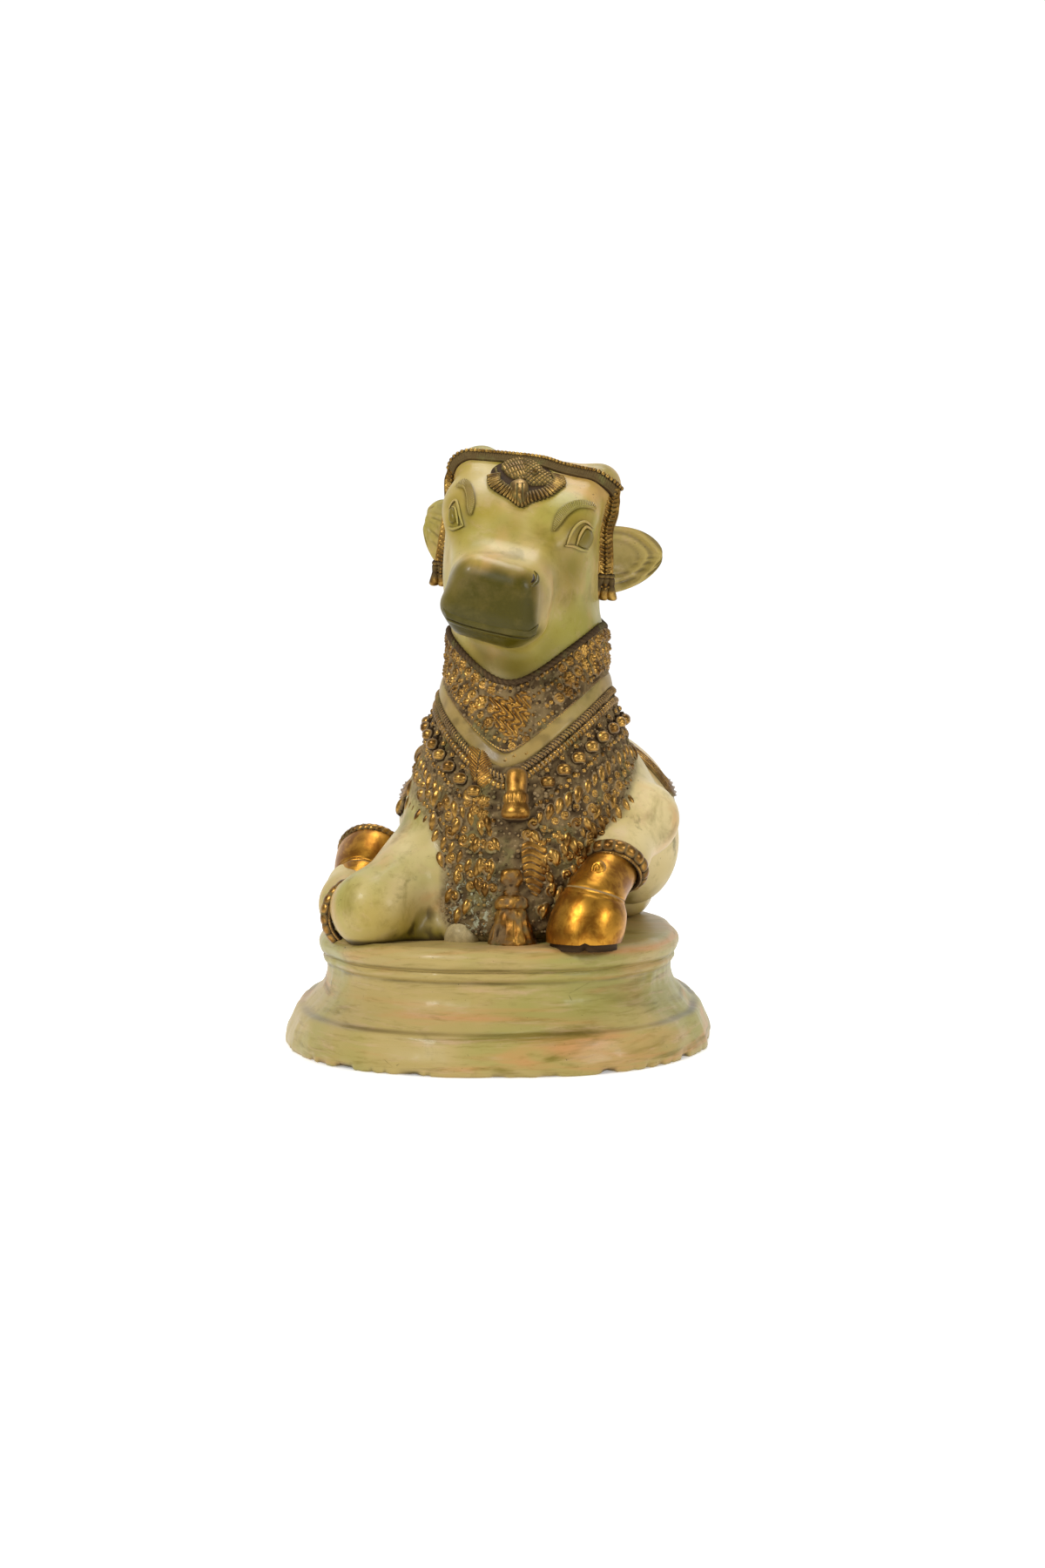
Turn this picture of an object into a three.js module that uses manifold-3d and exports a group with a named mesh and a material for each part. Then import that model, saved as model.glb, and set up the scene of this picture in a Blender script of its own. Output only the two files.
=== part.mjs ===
// A seated Nandi bull, cast in one piece with its oval plinth: millimetres, +Z up, the bull facing -Y,
// the origin on the floor under the middle of the plinth.
import * as THREE from "three";
import { mergeVertices } from "three/addons/utils/BufferGeometryUtils.js";
import Module from "manifold-3d";

// Driving dimensions of the plinth
const plinthWidth = 330;
const plinthLength = 460;
const plinthHeight = 82;
const skirtHeight = 24; // the flared band that stands on the floor
const skirtFlare = 8; // how far the skirt's foot stands out past its top edge
const skirtFoot = 5; // the upright strip at the skirt's lower edge
const stepWidth = 7; // the flat ledge above the skirt
const stepRise = 3;
const beadHeight = 12; // from the skirt's top edge to where the hollow begins
const beadInset = 8; // how far the bead stands out past the waist
const waistInset = 31; // from the plinth's outermost edge in to its waist
const rollRadius = 9; // the rolled edge of the top
const rollOverhang = 6; // how far the roll stands out past the waist
const plinthRoundness = 2.45; // 2 is an ellipse, more is squarer
const plinthSegments = 40;

// Driving dimensions of the figure and of what it wears
const figureHeight = 373; // from the top of the plinth to the horns
const ropeDiameter = 6;
const bandWidth = 11;
const bandThickness = 3.5;
const bellDiameter = 11;
const bellPitch = 20;
const dropLength = 15;
const pendantDiameter = 17;
const pendantLength = 38;
const tasselDiameter = 20;
const tasselLength = 52;
const headbandThickness = 7;
const medallionDiameter = 52;
const medallionThickness = 7;
const ankletThickness = 9;
const hoofDiameter = 53;
const cleftDepth = 7;
const cleftWidth = 4;
const tailDiameter = 12;
const sink = 2; // how deep the back of an ornament lies in the body

// How high the strands hang at the front, the side and the back of the neck
const chinRopeHeights = [183, 229, 268];
const collarHeights = [126, 190, 236];
const upperBellHeights = [93, 158, 190];
const lowerBellHeights = [66, 128, 150];
const pendantHeight = 120;
const tasselHeight = 44;
const strandSteps = 21;
const strandTurn = -10; // degrees from the neck's middle to the strands' lowest point

// The figure is drawn in units from the top of the plinth, this many to its height
const drawnHeight = 373;
const unit = figureHeight / drawnHeight;
const drawn = (millimetres) => millimetres / unit;

const wasm = await Module();
wasm.setup();

// A closed three.js geometry as a solid that can be joined and cut.
function solidOf(geometry) {
  const bare = geometry.clone();
  for (const name of ["normal", "uv"]) bare.deleteAttribute(name);
  const merged = mergeVertices(bare, 1e-4);
  return new wasm.Manifold(
    new wasm.Mesh({
      numProp: 3,
      vertProperties: merged.attributes.position.array,
      triVerts: new Uint32Array(merged.index.array),
    }),
  );
}

function geometryOf(solid) {
  const mesh = solid.getMesh();
  return new THREE.BufferGeometry()
    .setAttribute("position", new THREE.BufferAttribute(new Float32Array(mesh.vertProperties), 3))
    .setIndex(new THREE.BufferAttribute(new Uint32Array(mesh.triVerts), 1));
}

// The outer shell alone, without the pockets that close between an ornament and the body.
const outerShell = (solid) =>
  solid.decompose().reduce((a, b) => (a.volume() > b.volume() ? a : b));

const joined = (solids) => solids.reduce((whole, solid) => whole.add(solid));

// Forms: each is a signed distance, negative inside, and the body is their soft union

const mix = (a, b, t) => a + (b - a) * t;
const clamp = (v, lo, hi) => Math.min(hi, Math.max(lo, v));
const smooth = (v) => clamp(v, 0, 1) ** 2 * (3 - 2 * clamp(v, 0, 1));

function softUnion(a, b, blend) {
  const h = clamp(0.5 + (0.5 * (b - a)) / blend, 0, 1);
  return mix(b, a, h) - blend * h * (1 - h);
}

// An ellipsoid about a centre.
function ball(x, y, z, rx, ry, rz) {
  return (p) => {
    const [a, b, c] = [p.x - x, p.y - y, p.z - z];
    const near = Math.hypot(a / rx, b / ry, c / rz);
    const slope = Math.hypot(a / rx ** 2, b / ry ** 2, c / rz ** 2);
    return slope < 1e-9 ? -Math.min(rx, ry, rz) : (near * (near - 1)) / slope;
  };
}

// A limb that tapers from one [x, y, z, radius] to another.
function limb([ax, ay, az, ra], [bx, by, bz, rb]) {
  const [dx, dy, dz] = [bx - ax, by - ay, bz - az];
  const lengthSquared = dx * dx + dy * dy + dz * dz;
  return (p) => {
    const [px, py, pz] = [p.x - ax, p.y - ay, p.z - az];
    const t = clamp((px * dx + py * dy + pz * dz) / lengthSquared, 0, 1);
    return Math.hypot(px - dx * t, py - dy * t, pz - dz * t) - mix(ra, rb, smooth(t));
  };
}

// How far a point lies from a box with rounded edges, given how far it is past each face.
function roundedBox(pastX, pastY, pastZ, edge) {
  const [a, b, c] = [pastX + edge, pastY + edge, pastZ + edge];
  const outside = Math.hypot(Math.max(a, 0), Math.max(b, 0), Math.max(c, 0));
  return outside + Math.min(Math.max(a, b, c), 0) - edge;
}

// A box with rounded edges: centre, half sizes, edge radius, and how much narrower it is at the top.
function block(x, y, z, hx, hy, hz, edge, flare = 0) {
  return (p) => {
    const widened = Math.abs(p.x - x) * (1 + flare * clamp((p.z - z) / hz, -1, 1));
    return roundedBox(widened - hx, Math.abs(p.y - y) - hy, Math.abs(p.z - z) - hz, edge);
  };
}

// A rounded box that tapers along y, its [half width, top, bottom] given at the front and at the rear.
function wedge(front, rear, narrow, wide, edge) {
  return (p) => {
    const t = smooth((p.y - front) / (rear - wedgeRun - front));
    const [width, top, floor] = narrow.map((v, n) => mix(v, wide[n], t));
    const past = (v, lo, hi) => Math.abs(v - (lo + hi) / 2) - (hi - lo) / 2;
    return roundedBox(Math.abs(p.x) - width, past(p.y, front, rear), past(p.z, floor, top), edge);
  };
}

const softly = (blend, forms) => (p) =>
  forms.reduce((d, form) => (d === null ? form(p) : softUnion(d, form(p), blend)), null);

// The head has its own frame: its origin at the poll, x to the bull's left, y up the face from the
// nose, z out of the forehead
const headOrigin = new THREE.Vector3(28, -70, 356);
const headYaw = 17;
const headPitch = 42;
const headRoll = 12;
const muzzlePitch = 6;
const muzzleRoll = 17;
const wedgeRun = 55; // the length at the rear of the skull that no longer widens
const earSweep = 0.75; // radians back from straight out
const earDroop = -0.2;
const [earLength, earWidth, earDepth] = [62, 50, 11];

function axesAt(origin, degreesDown, degreesRolled = headRoll) {
  const [yaw, pitch, roll] = [headYaw, degreesDown, degreesRolled].map(THREE.MathUtils.degToRad);
  const back = new THREE.Vector3(
    Math.sin(yaw) * Math.cos(pitch),
    Math.cos(yaw) * Math.cos(pitch),
    Math.sin(pitch),
  );
  const side = new THREE.Vector3(Math.cos(yaw), -Math.sin(yaw), 0).applyAxisAngle(back, roll);
  return new THREE.Matrix4().makeBasis(side, back, side.clone().cross(back)).setPosition(origin);
}

const headFrame = axesAt(headOrigin, headPitch);
const headInverse = headFrame.clone().invert();
const onHead = (x, y, z) => new THREE.Vector3(x, y, z).applyMatrix4(headFrame);
const bothSides = (make) => [make(-1), make(1)];

const muzzleFrame = axesAt(onHead(0, -124, -29), muzzlePitch, muzzleRoll);
const muzzleInverse = muzzleFrame.clone().invert();

const trunk = softly(22, [
  ball(31, 56, 80, 115, 126, 88), // barrel
  ball(31, 128, 58, 94, 60, 62), // rump
  ball(19, -72, 70, 78, 80, 88), // chest
  limb([21, -64, 100, 84], [21, -68, 215, 58]), // neck
  limb([24, -28, 180, 52], [27, -44, 262, 46]), // nape
  ball(26, 22, 168, 44, 56, 46), // hump
  ball(14, -98, 40, 62, 60, 52), // dewlap
  ball(12, -110, 12, 56, 52, 26), // where the chest spreads onto the plinth
]);

const legs = softly(14, [
  ball(80, -46, 92, 40, 48, 52), // raised shoulder
  limb([88, -62, 92, 30], [108, -86, 86, 25]),
  ball(102, -26, 66, 38, 46, 50), // forearm
  limb([106, -90, 82, 23], [88, -126, 58, 18]), // cannon
  limb([88, -126, 58, 18], [76, -140, 40, 18]),
  ball(-34, -60, 84, 34, 52, 54), // kneeling shoulder
  limb([-44, -86, 60, 34], [-86, -148, 22, 25]),
  limb([-90, -146, 22, 25], [-109, -100, 22, 20]), // folded cannon
  limb([-109, -100, 22, 19], [-110, -80, 34, 18]),
  ball(-44, 108, 46, 50, 64, 44), // haunches
  ball(86, 104, 50, 50, 64, 48),
  limb([-66, 84, 20, 24], [-84, 30, 18, 17]), // hind cannons
  limb([104, 80, 20, 24], [104, 34, 18, 17]),
]);

const headForms = softly(12, [
  wedge(-142, 10, [32, -11, -60], [63, 0, -98], 15), // skull and face
  limb([0, -30, -76, 44], [0, -110, -50, 28]), // jaw
  ...bothSides((s) => ball(s * 30 + 5, -70, -56, 28, 50, 42)), // cheeks
  ...bothSides((s) => ball(s * 34, -58, -12, 20, 28, 14)), // brows
  ...bothSides((s) => limb([s * 44, -2, -32, 18], [s * 46, 10, -16, 13])), // horns
]);
const muzzleForms = softly(8, [
  block(5, -13, -6, 32, 27, 26, 15, 0.15),
  block(5, -6, -30, 28, 25, 14, 11), // lower lip
]);
const face = (p) => headForms(p.clone().applyMatrix4(headInverse));
const muzzle = (p) => muzzleForms(p.clone().applyMatrix4(muzzleInverse));
const head = (p) => softUnion(face(p), muzzle(p), 15);
const body = (p) => softUnion(trunk(p), legs(p), 16);
const figure = (p) => softUnion(body(p), head(p), 12);

// The field's outward normal.
function normalOf(field, p) {
  const step = 0.5;
  const slope = (axis) => {
    const ahead = p.clone();
    const behind = p.clone();
    ahead[axis] += step;
    behind[axis] -= step;
    return field(ahead) - field(behind);
  };
  return new THREE.Vector3(slope("x"), slope("y"), slope("z")).normalize();
}

// Grid lines from lo to hi, with steps of the size that sizeAt gives.
function gridLines(lo, hi, sizeAt) {
  const lines = [lo];
  while (lines.at(-1) < hi) lines.push(lines.at(-1) + sizeAt(lines.at(-1)));
  return lines;
}

const corners = [0, 1, 2, 3, 4, 5, 6, 7].map((n) => [n & 1, (n >> 1) & 1, n >> 2]);

// Whether a cell's corners of one kind hang together along its edges.
function hangTogether(kinds, kind) {
  const all = kinds.flatMap((k, n) => (k === kind ? [n] : []));
  const reached = new Set(all.slice(0, 1));
  for (const n of reached)
    for (const bit of [1, 2, 4]) if (kinds[n ^ bit] === kind) reached.add(n ^ bit);
  return reached.size === all.length;
}

// The field's surface as a closed mesh, with one vertex in each cell that it crosses.
function skin(field, xs, ys, zs) {
  const [nx, ny, nz] = [xs.length, ys.length, zs.length];
  const index = (i, j, k) => (i * ny + j) * nz + k;
  const values = new Float32Array(nx * ny * nz);
  const point = new THREE.Vector3();
  for (let i = 0; i < nx; i++)
    for (let j = 0; j < ny; j++)
      for (let k = 0; k < nz; k++)
        values[index(i, j, k)] = field(point.set(xs[i], ys[j], zs[k]));

  // A cell that two sheets would cross is filled in, corner by corner, until one is left.
  for (let filled = true; filled; ) {
    filled = false;
    for (let i = 0; i < nx - 1; i++)
      for (let j = 0; j < ny - 1; j++)
        for (let k = 0; k < nz - 1; k++) {
          const at = corners.map(([a, b, c]) => index(i + a, j + b, k + c));
          const kinds = at.map((n) => values[n] < 0);
          if (hangTogether(kinds, true) && hangTogether(kinds, false)) continue;
          const outside = at.filter((_, n) => !kinds[n]);
          values[outside.reduce((a, b) => (values[a] < values[b] ? a : b))] = -0.5;
          filled = true;
        }
  }

  const positions = [];
  const vertexOf = new Map();
  function cellVertex(i, j, k) {
    const key = index(i, j, k);
    if (vertexOf.has(key)) return vertexOf.get(key);
    const vertex = new THREE.Vector3();
    let crossings = 0;
    corners.forEach(([a, b, c], n) => {
      for (const bit of [1, 2, 4]) {
        if (n & bit) continue;
        const [d, e, f] = corners[n | bit];
        const [v, w] = [values[index(i + a, j + b, k + c)], values[index(i + d, j + e, k + f)]];
        if (v < 0 === w < 0) continue;
        vertex.x += mix(xs[i + a], xs[i + d], v / (v - w));
        vertex.y += mix(ys[j + b], ys[j + e], v / (v - w));
        vertex.z += mix(zs[k + c], zs[k + f], v / (v - w));
        crossings++;
      }
    });
    vertex.divideScalar(crossings);
    for (let n = 0; n < 3; n++) vertex.addScaledVector(normalOf(field, vertex), -field(vertex));
    const within = (v, lines, n) => {
      const margin = 0.08 * (lines[n + 1] - lines[n]);
      return clamp(v, lines[n] + margin, lines[n + 1] - margin);
    };
    vertexOf.set(key, positions.length / 3);
    positions.push(within(vertex.x, xs, i), within(vertex.y, ys, j), within(vertex.z, zs, k));
    return vertexOf.get(key);
  }

  const triangles = [];
  const gap = (a, b) =>
    Math.hypot(...[0, 1, 2].map((n) => positions[3 * a + n] - positions[3 * b + n]));
  const ends = [[1, 0, 0], [0, 1, 0], [0, 0, 1]];
  const around = [
    [[0, 1, 1], [0, 0, 1], [0, 0, 0], [0, 1, 0]],
    [[1, 0, 1], [1, 0, 0], [0, 0, 0], [0, 0, 1]],
    [[1, 1, 0], [0, 1, 0], [0, 0, 0], [1, 0, 0]],
  ];
  for (let i = 1; i < nx - 1; i++)
    for (let j = 1; j < ny - 1; j++)
      for (let k = 1; k < nz - 1; k++)
        ends.forEach(([di, dj, dk], axis) => {
          const inside = values[index(i, j, k)] < 0;
          if (inside === values[index(i + di, j + dj, k + dk)] < 0) return;
          const quad = around[axis].map(([a, b, c]) => cellVertex(i - a, j - b, k - c));
          if (!inside) quad.reverse();
          if (gap(quad[0], quad[2]) > gap(quad[1], quad[3])) quad.push(quad.shift());
          const [p, q, r, s] = quad;
          triangles.push(p, q, r, p, r, s);
        });
  return new THREE.BufferGeometry()
    .setAttribute("position", new THREE.BufferAttribute(new Float32Array(positions), 3))
    .setIndex(triangles);
}

function figureSkin() {
  const xs = gridLines(-152, 164, (x) => (x < -60 || x > 92 ? 19 : 15));
  const ys = gridLines(-225, 205, (y) => (y < -60 ? 14.5 : y < 0 ? 20 : 29));
  const zs = gridLines(-46, 420, (z) => (z > 190 ? 12.5 : 19));
  return solidOf(skin(figure, xs, ys, zs));
}

// What the bull wears. Each ornament lies on the body's own surface, found along a ray.

function surfacePoint(field, from, direction) {
  let [near, far] = [0, 260];
  const reach = (t) => from.clone().addScaledVector(direction, t);
  for (let n = 0; n < 40; n++) {
    const middle = (near + far) / 2;
    if (field(reach(middle)) < 0) near = middle;
    else far = middle;
  }
  const point = reach(near);
  return { point, normal: normalOf(field, point) };
}

// A strip or a rope of the section given as [across, out] pairs, along points on a surface.
function sweep(path, section, closed) {
  const count = path.length;
  const rings = path.map(({ point, normal }, n) => {
    const ahead = path[closed ? (n + 1) % count : Math.min(n + 1, count - 1)].point;
    const behind = path[closed ? (n + count - 1) % count : Math.max(n - 1, 0)].point;
    const along = ahead.clone().sub(behind).normalize();
    const across = new THREE.Vector3().crossVectors(normal, along).normalize();
    const out = new THREE.Vector3().crossVectors(along, across);
    return section(n).map(([a, b]) =>
      point.clone().addScaledVector(across, a).addScaledVector(out, b),
    );
  });
  return closed ? ringLoft(rings) : loft(rings);
}

const roundSection = (radius, lift, sides = 4) =>
  Array.from({ length: sides }, (_, n) => {
    const turn = (2 * Math.PI * (n + 0.5)) / sides;
    return [radius * Math.sin(turn), lift - radius * Math.cos(turn)];
  });
const flatSection = (width, thickness, depth) => [
  [-width / 2, -depth],
  [width / 2, -depth],
  [width / 2.2, thickness],
  [-width / 2.2, thickness],
];

// Strands round the neck drop to a point at the front: theta is 0 there and 180 at the back.
function onNeck(theta, [front, side, back]) {
  const turn = THREE.MathUtils.degToRad(theta);
  const hang = THREE.MathUtils.degToRad(theta - strandTurn);
  const s = Math.abs(Math.sin(hang));
  const z = Math.cos(hang) > 0 ? mix(front, side, s) : mix(back, side, s);
  const direction = new THREE.Vector3(Math.sin(turn), -Math.cos(turn), 0);
  return surfacePoint(trunk, new THREE.Vector3(21, -62, z), direction);
}

const strandPath = (heights) =>
  Array.from({ length: strandSteps }, (_, n) => onNeck((360 * (n + 0.5)) / strandSteps, heights));

// A turned form, its profile given as [radius, height] pairs, standing on a point.
function turned(profile, segments, point, direction, stretch = 1) {
  const lathe = new THREE.LatheGeometry(profile.map(([r, h]) => new THREE.Vector2(r, h)), segments);
  lathe.scale(1, 1, stretch);
  const quaternion = new THREE.Quaternion().setFromUnitVectors(new THREE.Vector3(0, 1, 0), direction);
  return lathe.applyQuaternion(quaternion).translate(point.x, point.y, point.z);
}

// A roped edge under the chin, and below it the flat band with a twisted rope along its lower edge.
function neckStrands() {
  const rope = drawn(ropeDiameter) / 2;
  const [width, thickness, depth] = [bandWidth, bandThickness, sink].map(drawn);
  const collar = [
    [-width / 2 - 2 * rope, -depth],
    [width / 2, -depth],
    [width / 2.2, thickness],
    [-width / 2, thickness],
    [-width / 2 - rope, 2 * rope - depth],
    [-width / 2 - 2 * rope, rope - depth],
  ];
  return [
    sweep(strandPath(chinRopeHeights), () => roundSection(rope, rope - depth), true),
    sweep(strandPath(collarHeights), () => collar, true),
  ].map(solidOf);
}

// A row of bells hanging from a strand, at a steady pitch round the front of the neck.
function bellRow(heights, from, to) {
  const radius = drawn(bellDiameter) / 2;
  const length = drawn(dropLength);
  const profile = [
    [0, 0],
    [radius * 0.55, length * 0.25],
    [radius, length * 0.6],
    [radius * 0.9, length],
    [0, length],
  ];
  const bells = [];
  let theta = from;
  while (theta <= to) {
    const { point, normal } = onNeck(theta, heights);
    const root = point.clone().addScaledVector(normal, radius - drawn(sink) * 1.4);
    const fall = new THREE.Vector3(0, 0, -1).addScaledVector(normal, normal.z).normalize();
    bells.push(solidOf(turned(profile, 5, root, fall)));
    const ahead = onNeck(theta + 1, heights).point.distanceTo(point);
    theta += drawn(bellPitch) / ahead;
  }
  return bells;
}

// The pendant under the strands, and the tassel that hangs down the chest to the plinth.
function pendant(height, length, diameter, segments) {
  const { point, normal } = onNeck(-6, [height, height, height]);
  const radius = drawn(diameter) / 2;
  const root = point.clone().addScaledVector(normal, radius - drawn(sink) * 2);
  const profile = [
    [0, 0],
    [radius, 0.1],
    [radius, 0.42],
    [radius * 1.15, 0.5],
    [radius * 0.75, 0.62],
    [radius * 1.3, 0.85],
    [radius * 1.1, 1],
    [0, 1],
  ].map(([r, h]) => [r, h * drawn(length)]);
  const fall = new THREE.Vector3(0, 0, -1).addScaledVector(normal, normal.z).normalize();
  return solidOf(turned(profile, segments, root, fall));
}

function headPoint(x, y, z, dx, dy, dz) {
  const direction = onHead(dx, dy, dz).sub(headOrigin).normalize();
  return surfacePoint(head, onHead(x, y, z), direction);
}

function headWear() {
  const thick = drawn(headbandThickness) / 2;
  const bandPath = [-100, -76, -53, -30, 0, 30, 53, 76, 100].map((degrees) => {
    const turn = THREE.MathUtils.degToRad(degrees);
    return headPoint(0, -6, -46, Math.sin(turn), 0, Math.cos(turn));
  });
  const section = roundSection(thick, thick - drawn(sink) * 1.2);
  const band = solidOf(sweep(bandPath, () => section, false));
  const straps = bothSides((s) => {
    const path = [-8, -34, -60, -84].map((y) => headPoint(0, y, -24 + (y + 8) * 1.05, s, 0, 0));
    return solidOf(sweep(path, () => section, false));
  });
  const disc = headPoint(0, -36, -20, 0, 0, 1);
  const radius = drawn(medallionDiameter) / 2;
  const height = drawn(medallionThickness);
  const profile = [
    [0, -height],
    [radius, -height],
    [radius, height * 0.35],
    [radius * 0.8, height * 0.7],
    [radius * 0.5, height],
    [0, height],
  ];
  const medallion = solidOf(turned(profile, 12, disc.point, disc.normal));
  return [band, ...straps, medallion];
}

// An ear is a leaf, hollow in front: its rings run from the root to the tip.
function ears() {
  return bothSides((s) => {
    const rings = [0, 0.2, 0.45, 0.7, 0.88, 1].map((t) => {
      const half = earWidth * 0.5 * Math.min(1, 0.6 + 1.6 * t) * Math.sqrt(1.02 - t ** 3);
      const depth = earDepth * Math.sin(Math.PI * (0.2 + 0.8 * t));
      const arc = (bulge, turns) =>
        turns.map((turn) => [-half * Math.cos(turn), bulge * Math.sin(turn)]);
      const back = arc(depth, [0, 0.25, 0.5, 0.75, 1].map((v) => v * Math.PI));
      const front = arc(depth * 0.5 - 3, [0.8, 0.5, 0.2].map((v) => v * Math.PI));
      return [...back, ...front].map(([z, y]) => new THREE.Vector3(s * earLength * t, y, s * z));
    });
    const swept = new THREE.Matrix4()
      .makeRotationZ(s * earSweep)
      .multiply(new THREE.Matrix4().makeRotationY(s * earDroop));
    return solidOf(loft(rings).applyMatrix4(axesAt(onHead(s * 52, -34, -60), 8).multiply(swept)));
  });
}

// A frame on the head's surface: x along its normal, y along the given direction.
function setOnHead(geometry, point, normal, direction) {
  const along = onHead(...direction).sub(headOrigin).projectOnPlane(normal).normalize();
  const third = normal.clone().cross(along);
  return geometry.applyMatrix4(
    new THREE.Matrix4().makeBasis(normal, along, third).setPosition(point),
  );
}

function eyes() {
  return bothSides((s) => {
    const { point, normal } = headPoint(s * 22, -79, -34, s * 0.6, 0, 0.75);
    const lid = new THREE.SphereGeometry(1, 8, 5).scale(4.5, 14, 7.5);
    return solidOf(setOnHead(lid, point, normal, [s * 0.4, 0.9, 0]));
  });
}

function brows() {
  const ridge = () => roundSection(4, 0.5);
  return bothSides((s) => {
    const path = [-80, -67, -57, -53, -54].map((y, n) =>
      headPoint(s * 20, y, -34, s * mix(0.3, 0.95, n / 4), 0, 0.8),
    );
    return solidOf(sweep(path, ridge, false));
  });
}

// What is cut into the head: the line of the mouth and the two nostrils.
function headCuts() {
  const lips = Array.from({ length: 9 }, (_, n) => {
    const turn = THREE.MathUtils.degToRad(-96 + 24 * n);
    const direction = new THREE.Vector3(Math.sin(turn), -Math.cos(turn), 0)
      .transformDirection(muzzleFrame);
    const from = new THREE.Vector3(0, -10, -24).applyMatrix4(muzzleFrame);
    return surfacePoint(head, from, direction);
  });
  const nostrils = bothSides((s) => {
    const from = new THREE.Vector3(s * 14, -20, 6).applyMatrix4(muzzleFrame);
    const direction = new THREE.Vector3(s * 0.45, -0.8, 0.35).transformDirection(muzzleFrame);
    const { point, normal } = surfacePoint(head, from, direction);
    const hole = new THREE.SphereGeometry(1, 6, 4).scale(4, 7, 3.5);
    return solidOf(setOnHead(hole, point, normal, [s, 0.9, 0]));
  });
  return [solidOf(sweep(lips, () => roundSection(2.2, 0.4), false)), ...nostrils];
}

// The border of the saddle cloth, and the tail laid round the rump.
function onBack(turn, y) {
  const angle = THREE.MathUtils.degToRad(turn);
  const direction = new THREE.Vector3(Math.sin(angle), 0, Math.cos(angle));
  return surfacePoint(trunk, new THREE.Vector3(28, y, 60), direction);
}

function saddleBorder() {
  const [low, front, rear] = [68, 2, 112];
  const along = (a, b, count) => Array.from({ length: count }, (_, n) => mix(a, b, n / count));
  const path = [
    ...along(-low, low, 7).map((turn) => onBack(turn, front)),
    ...along(front, rear, 3).map((y) => onBack(low, y)),
    ...along(low, -low, 7).map((turn) => onBack(turn, rear)),
    ...along(rear, front, 3).map((y) => onBack(-low, y)),
  ];
  const border = flatSection(drawn(bandWidth), drawn(bandThickness), drawn(sink));
  return solidOf(sweep(path, () => border, true));
}

function tail() {
  const path = Array.from({ length: 9 }, (_, n) => {
    const turn = THREE.MathUtils.degToRad(8 + 9 * n);
    const direction = new THREE.Vector3(Math.sin(turn), Math.cos(turn), 0.15);
    return surfacePoint(body, new THREE.Vector3(31, 110, mix(96, 20, n / 8)), direction);
  });
  const thick = (n) => drawn(tailDiameter) * (n > 5 ? 0.8 : 0.5);
  return solidOf(sweep(path, (n) => roundSection(thick(n), thick(n) * 0.3), false));
}

// A ring round a leg, and the foot below it as a loft. Each station of the foot is its middle, the
// way it faces and its radius as a share of the hoof's.
function foot(ankle, facing, ankleRadius, stations, toe) {
  const thick = drawn(ankletThickness) / 2;
  const along = new THREE.Vector3(...facing).normalize();
  const ring = new THREE.TorusGeometry(ankleRadius, thick, 6, 12)
    .applyQuaternion(new THREE.Quaternion().setFromUnitVectors(new THREE.Vector3(0, 0, 1), along))
    .translate(...ankle);
  const radius = drawn(hoofDiameter) / 2;
  const axes = ([middle, way]) => {
    const down = new THREE.Vector3(...way).normalize();
    const front = new THREE.Vector3(...toe).projectOnPlane(down).normalize();
    const side = down.clone().cross(front);
    return new THREE.Matrix4().makeBasis(side, down, front).setPosition(...middle);
  };
  const rings = stations.map((station) =>
    Array.from({ length: 12 }, (_, n) => {
      const [turn, reach] = [(Math.PI * n) / 6, radius * station[2]];
      const point = new THREE.Vector3(reach * Math.sin(turn), 0, reach * Math.cos(turn));
      return point.applyMatrix4(axes(station));
    }),
  );
  const depth = 2 * drawn(cleftDepth);
  const notch = new THREE.BoxGeometry(drawn(cleftWidth), depth, depth)
    .translate(0, 0, radius)
    .applyMatrix4(axes(stations.at(-1)));
  return [solidOf(ring), solidOf(loft(rings)).subtract(solidOf(notch))];
}

function feet() {
  const raised = [
    [[92, -124, 60], [-0.35, -0.75, -0.55], 0.66],
    [[83, -140, 52], [-0.35, -0.75, -0.55], 0.7],
    [[74, -158, 42], [-0.35, -0.6, -0.72], 0.74],
    [[68, -172, 34], [-0.24, -0.15, -0.96], 0.81],
    [[65, -176, 24], [-0.15, -0.05, -0.99], 0.95],
    [[61.5, -178, 11], [-0.05, 0, -1], 1.02],
    [[60, -179, -1.5], [0, 0, -1], 0.97],
  ];
  const folded = [
    [[-103, -112, 18], [-0.2, 0.9, 0.3], 0.62],
    [[-106, -98, 25], [0, 0.85, 0.5], 0.66],
    [[-104, -84, 33], [0.1, 0.8, 0.55], 0.74],
    [[-102, -76, 37], [0.15, 0.83, 0.55], 0.81],
    [[-100, -66, 43], [0.15, 0.83, 0.55], 0.94],
    [[-98, -53, 51], [0.15, 0.83, 0.55], 1.01],
    [[-97, -46, 56], [0.15, 0.83, 0.55], 0.97],
  ];
  return [
    ...foot([83, -140, 52], [-0.24, -0.69, -0.68], 20, raised, [0, -1, 0]),
    ...foot([-101, -118, 16], [-0.38, 0.92, 0], 23, folded, [0, 0, -1]),
  ];
}

// The plinth's outline at an inset: a rounded oval, point by point.
function plinthRing(inset, z) {
  const [a, b] = [plinthWidth / 2 - inset, plinthLength / 2 - inset];
  const power = plinthRoundness;
  return Array.from({ length: plinthSegments }, (_, n) => {
    const turn = (2 * Math.PI * n) / plinthSegments;
    const [c, s] = [Math.cos(turn), Math.sin(turn)];
    const reach = (Math.abs(c) ** power + Math.abs(s) ** power) ** (-1 / power);
    return new THREE.Vector3(a * c * reach, b * s * reach, z);
  });
}

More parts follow.
